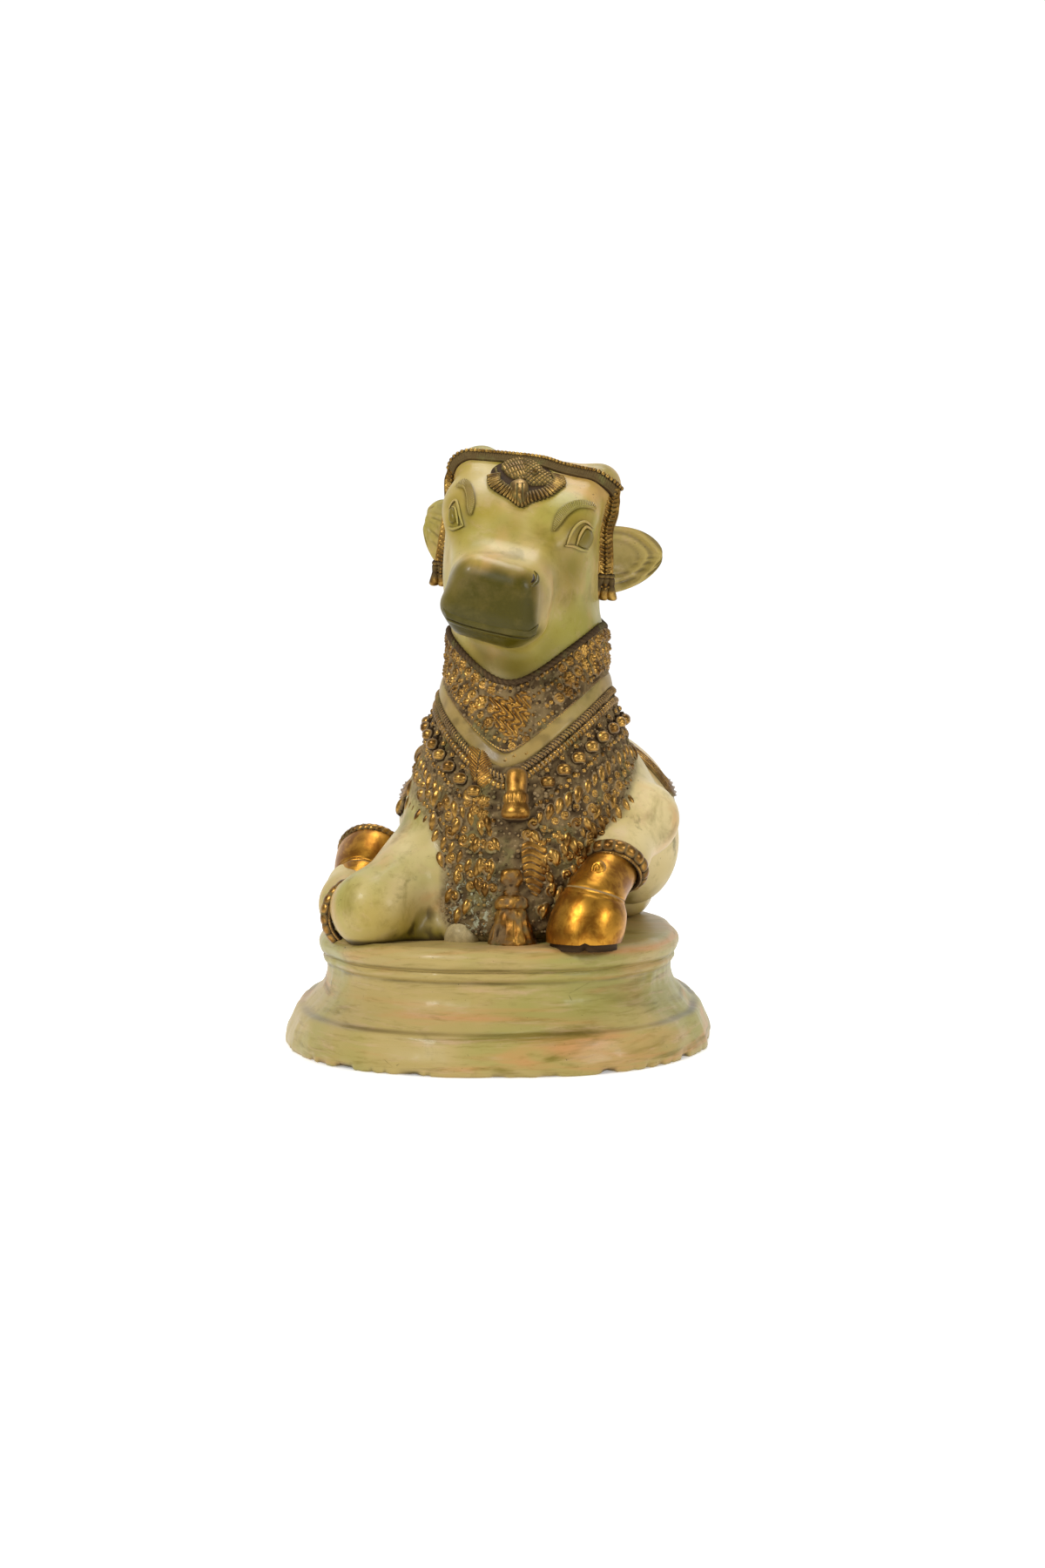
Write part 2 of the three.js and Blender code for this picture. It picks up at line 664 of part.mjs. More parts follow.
// A closed solid through a stack of rings with the same number of points.
function loft(rings) {
  const count = rings[0].length;
  const middle = (ring) =>
    ring.reduce((sum, p) => sum.add(p), new THREE.Vector3()).divideScalar(count);
  const points = [...rings.flat(), middle(rings[0]), middle(rings.at(-1))];
  const [first, last] = [points.length - 2, points.length - 1];
  const triangles = [];
  const top = (rings.length - 1) * count;
  for (let n = 0; n < count; n++) {
    const next = (n + 1) % count;
    triangles.push(first, next, n, last, top + n, top + next);
  }
  triangles.push(...walls(rings.length - 1, count, rings.length));
  return new THREE.BufferGeometry().setFromPoints(points).setIndex(triangles);
}

// A closed solid through rings that come back to the first.
function ringLoft(rings) {
  const count = rings[0].length;
  return new THREE.BufferGeometry()
    .setFromPoints(rings.flat())
    .setIndex(walls(rings.length, count, rings.length));
}

function walls(spans, count, total) {
  const triangles = [];
  for (let r = 0; r < spans; r++)
    for (let n = 0; n < count; n++) {
      const [low, high] = [r * count, ((r + 1) % total) * count];
      const next = (n + 1) % count;
      triangles.push(low + n, low + next, high + next, low + n, high + next, high + n);
    }
  return triangles;
}

function plinth() {
  const edge = waistInset - rollOverhang;
  const rollMiddle = plinthHeight - rollRadius;
  const profile = [
    [0, 0],
    [0, skirtFoot],
    [skirtFlare, skirtHeight],
    [skirtFlare + stepWidth, skirtHeight + stepRise],
    [waistInset - beadInset, skirtHeight + beadHeight],
    [waistInset, (skirtHeight + rollMiddle) / 2],
    [waistInset, rollMiddle - rollRadius],
    ...[-60, -20, 20, 60, 90].map((degrees) => {
      const turn = THREE.MathUtils.degToRad(degrees);
      return [
        edge + rollRadius * (1 - Math.cos(turn)),
        rollMiddle + rollRadius * Math.sin(turn),
      ];
    }),
  ];
  return solidOf(loft(profile.map(([inset, z]) => plinthRing(inset, z))));
}

// Everything drawn in the figure's units, brought to size and set on the plinth.
function bullFigure() {
  const worn = [
    ...neckStrands(),
    ...bellRow(upperBellHeights, -100, 100),
    ...bellRow(lowerBellHeights, -62, 50),
    pendant(pendantHeight, pendantLength, pendantDiameter, 8),
    pendant(tasselHeight, tasselLength, tasselDiameter, 6),
    ...headWear(),
    ...ears(),
    ...eyes(),
    ...brows(),
    saddleBorder(),
    tail(),
    ...feet(),
  ];
  return joined([figureSkin().subtract(joined(headCuts())), ...worn])
    .scale([unit, unit, unit])
    .translate([0, 0, plinthHeight]);
}

const bull = new THREE.Mesh(
  geometryOf(outerShell(bullFigure().add(plinth()))),
  new THREE.MeshStandardMaterial({ color: 0xa49b6a, roughness: 0.45, metalness: 0.35 }),
);
bull.name = "nandi_bull";

const group = new THREE.Group();
group.add(bull);
export default group;
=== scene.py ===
import math
import bpy
import numpy as np
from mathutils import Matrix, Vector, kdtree


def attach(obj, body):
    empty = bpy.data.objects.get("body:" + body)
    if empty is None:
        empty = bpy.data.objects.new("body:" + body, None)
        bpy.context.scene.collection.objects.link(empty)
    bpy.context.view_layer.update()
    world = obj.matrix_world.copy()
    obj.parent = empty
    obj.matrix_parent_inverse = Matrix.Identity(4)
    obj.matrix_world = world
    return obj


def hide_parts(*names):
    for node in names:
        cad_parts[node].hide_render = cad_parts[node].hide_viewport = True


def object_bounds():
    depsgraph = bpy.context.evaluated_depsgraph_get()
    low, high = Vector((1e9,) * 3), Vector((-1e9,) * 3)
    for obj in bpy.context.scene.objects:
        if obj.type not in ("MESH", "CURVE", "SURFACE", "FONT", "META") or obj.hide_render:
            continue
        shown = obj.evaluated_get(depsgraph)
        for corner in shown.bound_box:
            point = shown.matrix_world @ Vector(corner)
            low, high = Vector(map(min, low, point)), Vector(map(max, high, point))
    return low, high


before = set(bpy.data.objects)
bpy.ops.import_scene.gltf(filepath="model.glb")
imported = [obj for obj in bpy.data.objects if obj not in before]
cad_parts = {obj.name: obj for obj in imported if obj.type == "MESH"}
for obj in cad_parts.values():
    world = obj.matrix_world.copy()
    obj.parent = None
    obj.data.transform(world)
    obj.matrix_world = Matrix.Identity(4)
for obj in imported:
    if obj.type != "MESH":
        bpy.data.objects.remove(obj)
cadLow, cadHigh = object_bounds()
print("frame loaded, box", [round(v, 4) for v in cadLow], [round(v, 4) for v in cadHigh])

mm = 0.001
plinthTop = 82.0  # the figure is drawn from here up, in millimetres
plinthHalf = [(cadHigh[axis] - cadLow[axis]) / mm / 2 for axis in (0, 1)]
draw = np.random.default_rng(7)


# Small helpers for arrays of points

def vec(*numbers):
    return np.array(numbers, float)


def unitOf(v):
    return v / np.maximum(np.linalg.norm(v, axis=-1, keepdims=True), 1e-9)


def blend(a, b, t):
    return a + (b - a) * t


def rise(lo, hi, v):
    t = np.clip((v - lo) / (hi - lo), 0, 1)
    return t * t * (3 - 2 * t)


# large odd numbers, by which the noise scatters its values
scatter = {"x": 374761393, "y": 668265263, "z": 1442695041, "seed": 974634777, "mix": 1274126177}
lowBits, halfBits = 0xFFFFFFFF, 0xFFFF


def noise(p, size, seed=0):
    # smooth noise from -1 to 1: each corner of a grid has a value of its own
    q = np.asarray(p) / size
    base = np.floor(q).astype(np.int64)
    part = q - base
    part = part * part * (3 - 2 * part)
    total = np.zeros(len(q))
    for n in range(8):
        corner = np.array([n & 1, n >> 1 & 1, n >> 2])
        i, j, k = (base + corner).T
        h = (i * scatter["x"] + j * scatter["y"] + k * scatter["z"] + seed * scatter["seed"]) & lowBits
        h = ((h ^ (h >> 13)) * scatter["mix"]) & lowBits
        weight = np.prod(np.where(corner == 1, part, 1 - part), axis=1)
        total += weight * ((h ^ (h >> 16)) & halfBits) / halfBits
    return total * 2 - 1


# Forms: each gives the distance of points from its surface, negative inside

def softUnion(a, b, soft):
    h = np.clip(0.5 + 0.5 * (b - a) / soft, 0, 1)
    return blend(b, a, h) - soft * h * (1 - h)


def ball(x, y, z, rx, ry, rz):
    centre, radii = vec(x, y, z), vec(rx, ry, rz)

    def value(p):
        q = (p - centre) / radii
        near = np.sqrt((q * q).sum(1))
        slope = np.sqrt(((q / radii) ** 2).sum(1)) + 1e-9
        return near * (near - 1) / slope

    return value


def limb(a, b):
    start, way = vec(*a[:3]), vec(*b[:3]) - vec(*a[:3])

    def value(p):
        q = p - start
        t = np.clip(q @ way / (way @ way), 0, 1)
        return np.linalg.norm(q - t[:, None] * way, axis=1) - blend(a[3], b[3], rise(0, 1, t))

    return value


def fromBox(d, edge):
    # d says how far points are past each side of a box that is then rounded by its edge
    return np.linalg.norm(np.maximum(d, 0), axis=1) + np.minimum(d.max(1), 0) - edge


def block(x, y, z, hx, hy, hz, edge, flare=0.0):
    centre, half = vec(x, y, z), vec(hx, hy, hz) - edge

    def value(p):
        q = p - centre
        widen = 1 + flare * np.clip(q[:, 2] / hz, -1, 1)
        return fromBox(np.abs(q * np.stack([widen, np.ones(len(q)), np.ones(len(q))], 1)) - half, edge)

    return value


def wedge(front, rear, narrow, wide, edge, pinch=0.0):
    # a rounded box that tapers smoothly along y, with each end's half width, top and bottom;
    # its sides are pinched in below the headband
    def value(p):
        t = rise(front, rear - 55, p[:, 1])
        width, top, floor = (blend(a, b, t) for a, b in zip(narrow, wide))
        width = width - pinch * rise(-6, -24, p[:, 1]) * rise(-130, -85, p[:, 1])
        return fromBox(np.stack([
            np.abs(p[:, 0]) - width + edge,
            np.abs(p[:, 1] - (front + rear) / 2) - (rear - front) / 2 + edge,
            np.abs(p[:, 2] - (top + floor) / 2) - (top - floor) / 2 + edge,
        ], 1), edge)

    return value


def softly(soft, forms):
    def value(p):
        d = forms[0](p)
        for form in forms[1:]:
            d = softUnion(d, form(p), soft)
        return d

    return value


# The head's frame: origin at the poll, x to the bull's left, y up the face, z out of the forehead

head = {"origin": (28, -70, 356), "yaw": 17, "pitch": 42, "roll": 12, "muzzlePitch": 6, "muzzleRoll": 17}


def axesAt(origin, degreesDown, rolled=head["roll"]):
    yaw, pitch, roll = (math.radians(a) for a in (head["yaw"], degreesDown, rolled))
    back = vec(math.sin(yaw) * math.cos(pitch), math.cos(yaw) * math.cos(pitch), math.sin(pitch))
    level = vec(math.cos(yaw), -math.sin(yaw), 0)
    side = level * math.cos(roll) + np.cross(back, level) * math.sin(roll)
    return vec(*origin), np.stack([side, back, np.cross(side, back)])


headAxes = axesAt(head["origin"], head["pitch"])


def onHead(p, axes=headAxes):
    return axes[0] + np.asarray(p, float) @ axes[1]


def inHead(p, axes=headAxes):
    return (p - axes[0]) @ axes[1].T


muzzleAxes = axesAt(onHead((0, -124, -29)), head["muzzlePitch"], head["muzzleRoll"])

trunk = softly(22, [
    ball(31, 56, 80, 115, 126, 88),  # barrel
    ball(31, 128, 58, 94, 60, 62),  # rump
    ball(19, -72, 70, 78, 80, 88),  # chest
    limb((21, -64, 100, 84), (21, -68, 215, 58)),  # neck
    limb((24, -28, 180, 52), (27, -44, 262, 46)),  # nape
    ball(26, 22, 168, 44, 56, 46),  # hump
    ball(14, -98, 40, 62, 60, 52),  # dewlap
    ball(12, -110, 12, 56, 52, 26),  # where the chest spreads onto the plinth
])
legs = softly(14, [
    ball(80, -46, 92, 40, 48, 52),  # raised shoulder
    limb((88, -62, 92, 30), (108, -86, 86, 25)),
    ball(102, -26, 66, 38, 46, 50),  # forearm
    limb((106, -90, 82, 23), (88, -126, 58, 18)),  # cannon
    limb((88, -126, 58, 18), (76, -140, 40, 18)),
    ball(-34, -60, 84, 34, 52, 54),  # kneeling shoulder
    limb((-44, -86, 60, 34), (-86, -148, 22, 25)),
    limb((-90, -146, 22, 25), (-109, -100, 22, 20)),  # folded cannon
    limb((-109, -100, 22, 19), (-110, -80, 34, 18)),
    ball(-52, -124, 0, 27, 22, 17),  # the crust beside the knee
    ball(-44, 108, 46, 50, 64, 44),  # haunches
    ball(86, 104, 50, 50, 64, 48),
    limb((-66, 84, 20, 24), (-84, 30, 18, 17)),  # hind cannons
    limb((104, 80, 20, 24), (104, 34, 18, 17)),
])
headForms = softly(12, [
    wedge(-142, 10, (32, -11, -60), (63, 0, -98), 15, 6.0),  # skull and face
    limb((0, -30, -76, 44), (0, -110, -50, 28)),  # jaw
    *[ball(s * 28 + 3, -70, -56, 27, 50, 42) for s in (-1, 1)],  # cheeks, fuller on the bull's left
    *[ball(s * 34, -58, -12, 20, 28, 14) for s in (-1, 1)],  # brows
    limb((-42, -2, -32, 19), (-43, 8.5, -17, 13)),  # horns
    limb((45, -3, -33, 19), (50, 4, -20, 14)),
])
muzzleForms = softly(8, [
    block(5.5, -13, -6, 34, 27, 26, 17, 0.15),  # rounder than the solid's
    block(5, -5, -27, 27, 24, 12, 10.5),  # lower lip
])


def skull(p):
    return softUnion(headForms(inHead(p)), muzzleForms(inHead(p, muzzleAxes)), 15)


def body(p):
    return softUnion(trunk(p), legs(p), 16)


def figure(p):
    return softUnion(body(p), skull(p), 12)


def slopeOf(field, p, step=0.4):
    axes = np.eye(3) * step
    return np.stack([field(p + a) - field(p - a) for a in axes], 1) / (2 * step)


def normalsOf(field, p):
    return unitOf(slopeOf(field, p))


def settled(field, points, steps=4, limit=3.0, least=0.3):
    # points drawn onto the field's surface in steps, none longer than the limit
    points = np.array(points, float)
    shape, points = points.shape, points.reshape(-1, 3)
    for _ in range(steps):
        slope = slopeOf(field, points)
        pull = field(points) / np.maximum((slope * slope).sum(1), least)
        points = points - np.clip(pull, -limit, limit)[:, None] * slope
    return points.reshape(shape)


def castOut(field, start, way, reach=260.0):
    # the last crossing found by halving, from inside the form outwards
    near, far = np.zeros(len(start)), np.full(len(start), reach)
    for _ in range(26):
        middle = (near + far) / 2
        within = field(start + middle[:, None] * way) < 0
        near, far = np.where(within, middle, near), np.where(within, far, middle)
    return start + near[:, None] * way


# The camera of the photograph, and the point of the figure that it sees at a pixel

camera = {
    "place": (18, -1300, 204), "focal": 1872.0, "middle": (600, 882), "lens": 37.44, "tilt": 0.551,
    "clear": 1000, "steps": 60, "share": 0.8,
}


def seen(pixels, field=figure):
    # walks along the line of sight, from just before the figure on, by a share of the distance that is left
    pixels = np.atleast_2d(np.array(pixels, float))
    ways = unitOf(np.stack([
        (pixels[:, 0] - camera["middle"][0]) / camera["focal"],
        np.ones(len(pixels)),
        (camera["middle"][1] - pixels[:, 1]) / camera["focal"],
    ], 1))
    p = np.array(camera["place"], float) - vec(0, 0, plinthTop) + ways * camera["clear"]
    for _ in range(camera["steps"]):
        p = p + np.clip(field(p), -4, 12)[:, None] * camera["share"] * ways
    return p


# Skins: the zero surface of a field, as a grid of cells with one point in each cell that it crosses

def fieldSkin(field, low, high, cell, settle=3):
    # first a coarse grid of blocks, then the cells of the blocks that lie near the surface
    step, near, batch = 4, 1.7, 200000
    low, high = vec(*low), vec(*high)
    blocks = np.ceil((high - low) / (cell * step)).astype(int)
    coarseLines = [low[a] + cell * step * np.arange(blocks[a] + 1) for a in range(3)]
    coarsePoints = np.stack(np.meshgrid(*coarseLines, indexing="ij"), -1).reshape(-1, 3)
    coarse = field(coarsePoints).reshape(blocks + 1)
    lines = [np.arange(blocks[a] * step + 1) for a in range(3)]
    spots = [np.minimum(line // step, blocks[a] - 1) for a, line in enumerate(lines)]
    closest = np.full(blocks, np.inf)
    for n in range(8):
        a, b, c = n & 1, n >> 1 & 1, n >> 2
        part = coarse[a:blocks[0] + a, b:blocks[1] + b, c:blocks[2] + c]
        closest = np.minimum(closest, np.abs(part))
    values = coarse[np.ix_(*spots)]
    wanted = (closest < cell * step * near)[np.ix_(*spots)]
    index = np.argwhere(wanted)
    found = [field(low + part * cell) for part in np.array_split(index, max(1, len(index) // batch))]
    values[wanted] = np.concatenate(found)

    # in each cell that the surface crosses, one point in the middle of its crossings
    inside = values < 0
    count = np.zeros([n - 1 for n in values.shape], int)
    for n in range(8):
        a, b, c = n & 1, n >> 1 & 1, n >> 2
        count += inside[a:a + count.shape[0], b:b + count.shape[1], c:c + count.shape[2]]
    mixed = (count > 0) & (count < 8)
    cells = np.argwhere(mixed)
    offsets = np.array([[n & 1, n >> 1 & 1, n >> 2] for n in range(8)])
    at = [values[tuple((cells + o).T)] for o in offsets]
    place, crossings = np.zeros((len(cells), 3)), np.zeros(len(cells))
    for n in range(8):
        for bit in (1, 2, 4):
            if n & bit:
                continue
            v, w = at[n], at[n | bit]
            crossed = (v < 0) != (w < 0)
            t = np.where(crossed, v / np.where(crossed, v - w, 1), 0)
            place += crossed[:, None] * (offsets[n] + t[:, None] * (offsets[n | bit] - offsets[n]))
            crossings += crossed
    points = settled(field, low + (cells + place / crossings[:, None]) * cell, settle, cell, 0.2)

    # a face round each grid edge that the surface crosses, joining the four cells about it
    number = np.full(mixed.shape, -1)
    number[mixed] = np.arange(len(cells))
    quads = []
    for axis in range(3):
        b, c = (axis + 1) % 3, (axis + 2) % 3
        here = [slice(1, n - 1) for n in values.shape]
        ahead = list(here)
        ahead[axis] = slice(2, values.shape[axis])
        edge = inside[tuple(here)] != inside[tuple(ahead)]
        spot = np.argwhere(edge) + 1
        stepB, stepC = np.eye(3, dtype=int)[b], np.eye(3, dtype=int)[c]
        ring = [spot - stepB - stepC, spot - stepC, spot, spot - stepB]
        quad = np.stack([number[tuple(r.T)] for r in ring], 1)
        outward = inside[tuple(spot.T)]
        quads.append(np.where(outward[:, None], quad, quad[:, ::-1]))
    return points, np.concatenate(quads)


# A form is a mesh in millimetres; raised says how bare a point is rubbed, from 0 in a recess to 1 on a crest,
# and on brass the lowest are dark brown, partly painted shade

class Form:
    def __init__(self, points, faces, raised=0.0):
        self.points = np.asarray(points, float)
        self.faces = [np.asarray(f, int) for f in faces if len(f)]
        self.raised = np.broadcast_to(np.asarray(raised, float), (len(self.points),)).copy()

    def placed(self, point, across, along, out, sizes=1.0):
        point, across, along, out = (np.atleast_2d(v) for v in (point, across, along, out))
        sizes = np.broadcast_to(np.asarray(sizes, float), (len(point),))
        local = self.points[None] * sizes[:, None, None]
        points = point[:, None] + sum(
            local[:, :, n:n + 1] * v[:, None] for n, v in enumerate((across, along, out))
        )
        steps = np.arange(len(point))[:, None, None] * len(self.points)
        faces = [(f[None] + steps).reshape(-1, f.shape[1]) for f in self.faces]
        return Form(points.reshape(-1, 3), faces, np.tile(self.raised, len(point)))


def joined(forms):
    points, faces, raised, start = [], [], [], 0
    for form in forms:
        points.append(form.points)
        raised.append(form.raised)
        faces += [f + start for f in form.faces]
        start += len(form.points)
    return Form(np.concatenate(points), faces, np.concatenate(raised))


def gridFaces(rows, columns, closed=False):
    across = columns if closed else columns - 1
    r, c = np.meshgrid(np.arange(rows - 1), np.arange(across), indexing="ij")
    a, b = r * columns + c, r * columns + (c + 1) % columns
    return np.stack([a, b, b + columns, a + columns], -1).reshape(-1, 4)


def fanFaces(count, middle, start=0, flipped=False):
    # triangles from a ring of points to one point
    ring = np.arange(count)
    pair = [start + ring, start + (ring + 1) % count]
    return np.stack([*(pair[::-1] if flipped else pair), np.full(count, middle)], 1)


def closedUp(rows):
    return np.concatenate([rows, rows[:1]])


def dome(r, top=1.02, power=2):
    # round on top, from its middle at 0 to its rim at 1
    return np.sqrt(np.clip(top - r**power, 0, 1))


def ridge(v, width, at=0.0):
    return np.exp(-(((v - at) / width) ** 2))


def addPiece(name, form, material, **values):
    # muzzle, dusty, groove, ochre and the olive value steer the patina, and crust the brass; one not given is
    # 0; muzzle, groove and olive also carry painted shade
    mesh = bpy.data.meshes.new(name)
    points = (form.points + vec(0, 0, plinthTop)) * mm
    mesh.from_pydata(points.tolist(), [], [q for f in form.faces for q in f.tolist()])
    for key, value in {"raised": form.raised, **values}.items():
        value = np.broadcast_to(np.asarray(value, np.float32), (len(form.points),)).copy()
        mesh.attributes.new(key, "FLOAT", "POINT").data.foreach_set("value", value)
    mesh.shade_smooth()
    piece = bpy.data.objects.new(name, mesh)
    bpy.context.scene.collection.objects.link(piece)
    mesh.materials.append(material)
    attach(piece, "root")
    triangles = sum(len(f) * (f.shape[1] - 2) for f in form.faces)
    print(name, triangles, "triangles, top at", round(form.points[:, 2].max() + plinthTop, 1))
    return piece


# Lines on the surface, and what is swept, turned or set along them

def frameOn(points, field, way=(0, 0, -1)):
    out = normalsOf(field, points)
    way = np.broadcast_to(np.asarray(way, float), out.shape)
    along = unitOf(way - out * (out * way).sum(1, keepdims=True))
    return np.cross(along, out), along, out


def curve(corners, count=80, closed=False):
    # a smooth path through corners
    p = np.array(corners, float)
    p = np.concatenate([p[-1:], p, p[:2]]) if closed else np.concatenate([p[:1], p, p[-1:]])
    at = np.linspace(0, len(p) - 3, count, endpoint=not closed)
    n = np.minimum(at.astype(int), len(p) - 4)
    t = (at - n)[:, None]
    a, b, c, d = (p[n + k] for k in range(4))
    cubic = (2 * a - 5 * b + 4 * c - d) * t**2 + (3 * b - a - 3 * c + d) * t**3
    return 0.5 * (2 * b + (c - a) * t + cubic)


class Line:
    # points at even steps along a path that lies on a field's surface
    def __init__(self, path, field, step, closed=False):
        path = closedUp(path) if closed else path
        ways = np.concatenate([[0], np.cumsum(np.linalg.norm(np.diff(path, axis=0), axis=1))])
        self.length, self.closed = ways[-1], closed
        count = max(3, int(round(self.length / step)) + (0 if closed else 1))
        self.s = np.linspace(0, self.length, count, endpoint=not closed)
        self.points = np.stack([np.interp(self.s, ways, path[:, n]) for n in range(3)], 1)
        self.points = settled(field, self.points)
        if closed:
            ahead, behind = np.roll(self.points, -1, 0), np.roll(self.points, 1, 0)
        else:
            ahead = np.concatenate([self.points[1:], self.points[-1:]])
            behind = np.concatenate([self.points[:1], self.points[:-1]])
        self.across, self.along, self.out = frameOn(self.points, field, ahead - behind)

    def section(self, a, b):
        # a row of points at each step: a across the line and b out from the surface
        return self.points[:, None] + a[:, :, None] * self.across[:, None] + b[:, :, None] * self.out[:, None]

    def set(self, template, lift=0.0, sizes=1.0, turned=0.0, keep=slice(None)):
        c, s = math.cos(turned), math.sin(turned)
        across, along = self.across * c + self.along * s, self.along * c - self.across * s
        sizes = np.broadcast_to(np.asarray(sizes, float), (len(self.points),))
        point = self.points + self.out * lift
        return template.placed(point[keep], across[keep], along[keep], self.out[keep], sizes[keep])


def swept(line, radius, lift, sides=10, wave=None, tallest=1.0):
    # a cord of round section; wave gives the share of the radius at each step and turn
    turn = 2 * np.pi * np.arange(sides) / sides
    share = np.ones((len(line.s), sides)) if wave is None else wave(line.s[:, None], turn[None])
    r = np.broadcast_to(np.asarray(radius, float), (len(line.s),))[:, None] * share
    a, b = r * np.cos(turn), r * np.sin(turn) + lift
    points = line.section(a, b)
    raised = rise(0.1, 0.95, b / (lift + np.max(radius))) * rise(0.72, 1.0, share) * tallest
    if line.closed:
        points, raised = closedUp(points), closedUp(raised)
    rows = len(points)
    faces = [gridFaces(rows, sides, closed=True)]
    points, raised = points.reshape(-1, 3), raised.ravel()
    if not line.closed:
        last, middle = (rows - 1) * sides, len(points)
        points = np.concatenate([points, points[:sides].mean(0)[None], points[last:].mean(0)[None]])
        raised = np.concatenate([raised, [0.5, 0.5]])
        faces += [fanFaces(sides, middle, 0, True), fanFaces(sides, middle + 1, last)]
    return Form(points, faces, raised)


def ribbon(line, width, height, steps=12, sink=1.5):
    # a strip whose upper side follows height(u, s), with u from -1 to 1 across it
    u = np.linspace(-1, 1, steps)
    tall = height(u[None] * np.ones((len(line.s), 1)), line.s[:, None])
    half = np.broadcast_to(np.asarray(width, float), (len(line.s),))[:, None] / 2
    a = half * np.append(u, [1, -1])
    b = np.concatenate([tall, np.full((len(line.s), 2), -sink)], 1)
    points = line.section(a, b)
    raised = np.concatenate([rise(0.0, 1.0, tall / tall.max()), np.zeros((len(line.s), 2))], 1)
    if line.closed:
        points, raised = closedUp(points), closedUp(raised)
    rows, sides = len(points), steps + 2
    faces = [gridFaces(rows, sides, closed=True)[:, ::-1]]
    if not line.closed:
        ring = np.arange(sides)[None]
        faces += [ring, (rows - 1) * sides + ring[:, ::-1]]
    return Form(points.reshape(-1, 3), faces, raised.ravel())


def turnedForm(profile, sides=14, stretch=1.0, wave=None):
    # turned about y, the profile given as (radius, distance along y); ends on the axis
    profile = np.array(profile, float)
    turn = 2 * np.pi * np.arange(sides) / sides
    r = profile[:, :1] * (1 if wave is None else wave(profile[:, 1:], turn[None]))
    along = np.broadcast_to(profile[:, 1:], (len(profile), sides))
    points = np.stack([r * np.cos(turn), along, r * np.sin(turn) * stretch], -1)
    reach = points[:, :, 2] / max(profile[:, 0].max(), 1e-6)
    raised = rise(-0.1, 0.6, reach) * rise(0.3, 0.9, r / profile[:, 0].max())
    faces = gridFaces(len(profile), sides, closed=True)[:, ::-1]
    return Form(points.reshape(-1, 3), [faces], raised.ravel())


def bossForm(radius, tall, height, rings=8, spokes=20, sink=1.2):
    # a round boss; height(r, turn) gives its shape from 0 to 1 on a unit disc
    r = np.linspace(0, 1, rings + 1)[1:]
    turn = 2 * np.pi * np.arange(spokes) / spokes
    h = height(r[:, None], turn[None]) * np.ones((rings, spokes))
    z = h * tall
    z[-1] = -sink
    x, y = radius * r[:, None] * np.cos(turn), radius * r[:, None] * np.sin(turn)
    points = np.concatenate([np.stack([x, y, z], -1).reshape(-1, 3), [[0, 0, height(0, 0) * tall]]])
    raised = np.append(rise(0.15, 0.85, z / tall).ravel(), 1.0)
    faces = [gridFaces(rings, spokes, closed=True)[:, ::-1], fanFaces(spokes, len(points) - 1)]
    return Form(points, faces, raised)


def leafForm(length, width, tall, steps=(12, 9), sink=1.0, blunt=0.75):
    # a ribbed leaf that hangs along y from its stem at the origin
    t, u = np.linspace(0, 1, steps[0])[:, None], np.linspace(-1, 1, steps[1])[None]
    half = width / 2 * np.sin(np.pi * np.clip(t, 0, 1) ** blunt) ** 0.7
    crown = dome(u, 1) * np.sin(np.pi * t) ** 0.4
    rib = 1 - 0.3 * np.abs(np.cos(6 * np.pi * (t + 0.25 * np.abs(u)))) * np.abs(u)
    z = crown * tall * rib - sink * (1 - np.clip(crown, 0, 1))
    points = np.stack([half * u, length * t * np.ones_like(u), z], -1).reshape(-1, 3)
    return Form(points, [gridFaces(*steps)[:, ::-1]], rise(0.2, 0.9, crown * rib).ravel())


def ballForm(radius, sides, rings):
    turn = np.linspace(0, np.pi, rings + 1)
    return turnedForm([(max(radius * math.sin(a), 0.02), -radius * math.cos(a)) for a in turn], sides)


def photoLine(pixels, step, closed=False, field=figure):
    return Line(seen(curve(pixels, 90, closed), field), field, step, closed)


def headLine(corners, step):
    return Line(settled(skull, onHead(curve(corners, 90)), 8), skull, step)


def scored(wave, width=0.38):
    # grooves that run where the wave is a whole number of half turns, from 1 in them to 0
    return ridge(np.sin(wave), width)


def pad(outline, field, height, rows=8, cut=None, deep=0.9, sink=0.8, way=(0, 0, -1)):
    # a low boss inside a closed line; height(r, turn, x, y) in millimetres, x and y being on its face;
    # cut(x, y) says where lines are cut into it, from 0 to 1
    count = len(outline.points)
    centre = outline.points.mean(0)
    r = np.linspace(0, 1, rows + 1)[1:, None]
    turn = 2 * np.pi * np.arange(count)[None] / count
    points = settled(field, centre + r[:, :, None] * (outline.points - centre)[None])
    middle = settled(field, centre[None])
    across, along, _ = frameOn(middle, field, way)
    x, y = (points - middle) @ across[0], (points - middle) @ along[0]
    tall = height(r, turn, x, y) * np.ones((rows, count))
    nil = np.zeros((1, 1))
    top = float(np.ravel(height(nil, nil, nil, nil))[0])
    raised = rise(0.1, 0.9, tall / max(tall.max(), 1e-6))
    if cut:
        lines = np.clip(cut(x, y), 0, 1)
        tall, raised = tall - deep * lines, raised * (1 - 0.85 * lines)
    tall[-1] = -sink
    points = points + normalsOf(field, points.reshape(-1, 3)).reshape(points.shape) * tall[:, :, None]
    middle = middle + normalsOf(field, middle) * top
    faces = [gridFaces(rows, count, closed=True), fanFaces(count, rows * count, 0, True)]
    out = normalsOf(field, centre[None])[0]
    a, b = outline.points[0] - centre, outline.points[count // 4] - centre
    if np.cross(a, b) @ out > 0:
        faces = [f[:, ::-1] for f in faces]
    return Form(np.concatenate([points.reshape(-1, 3), middle]), faces, np.append(raised.ravel(), 1.0))


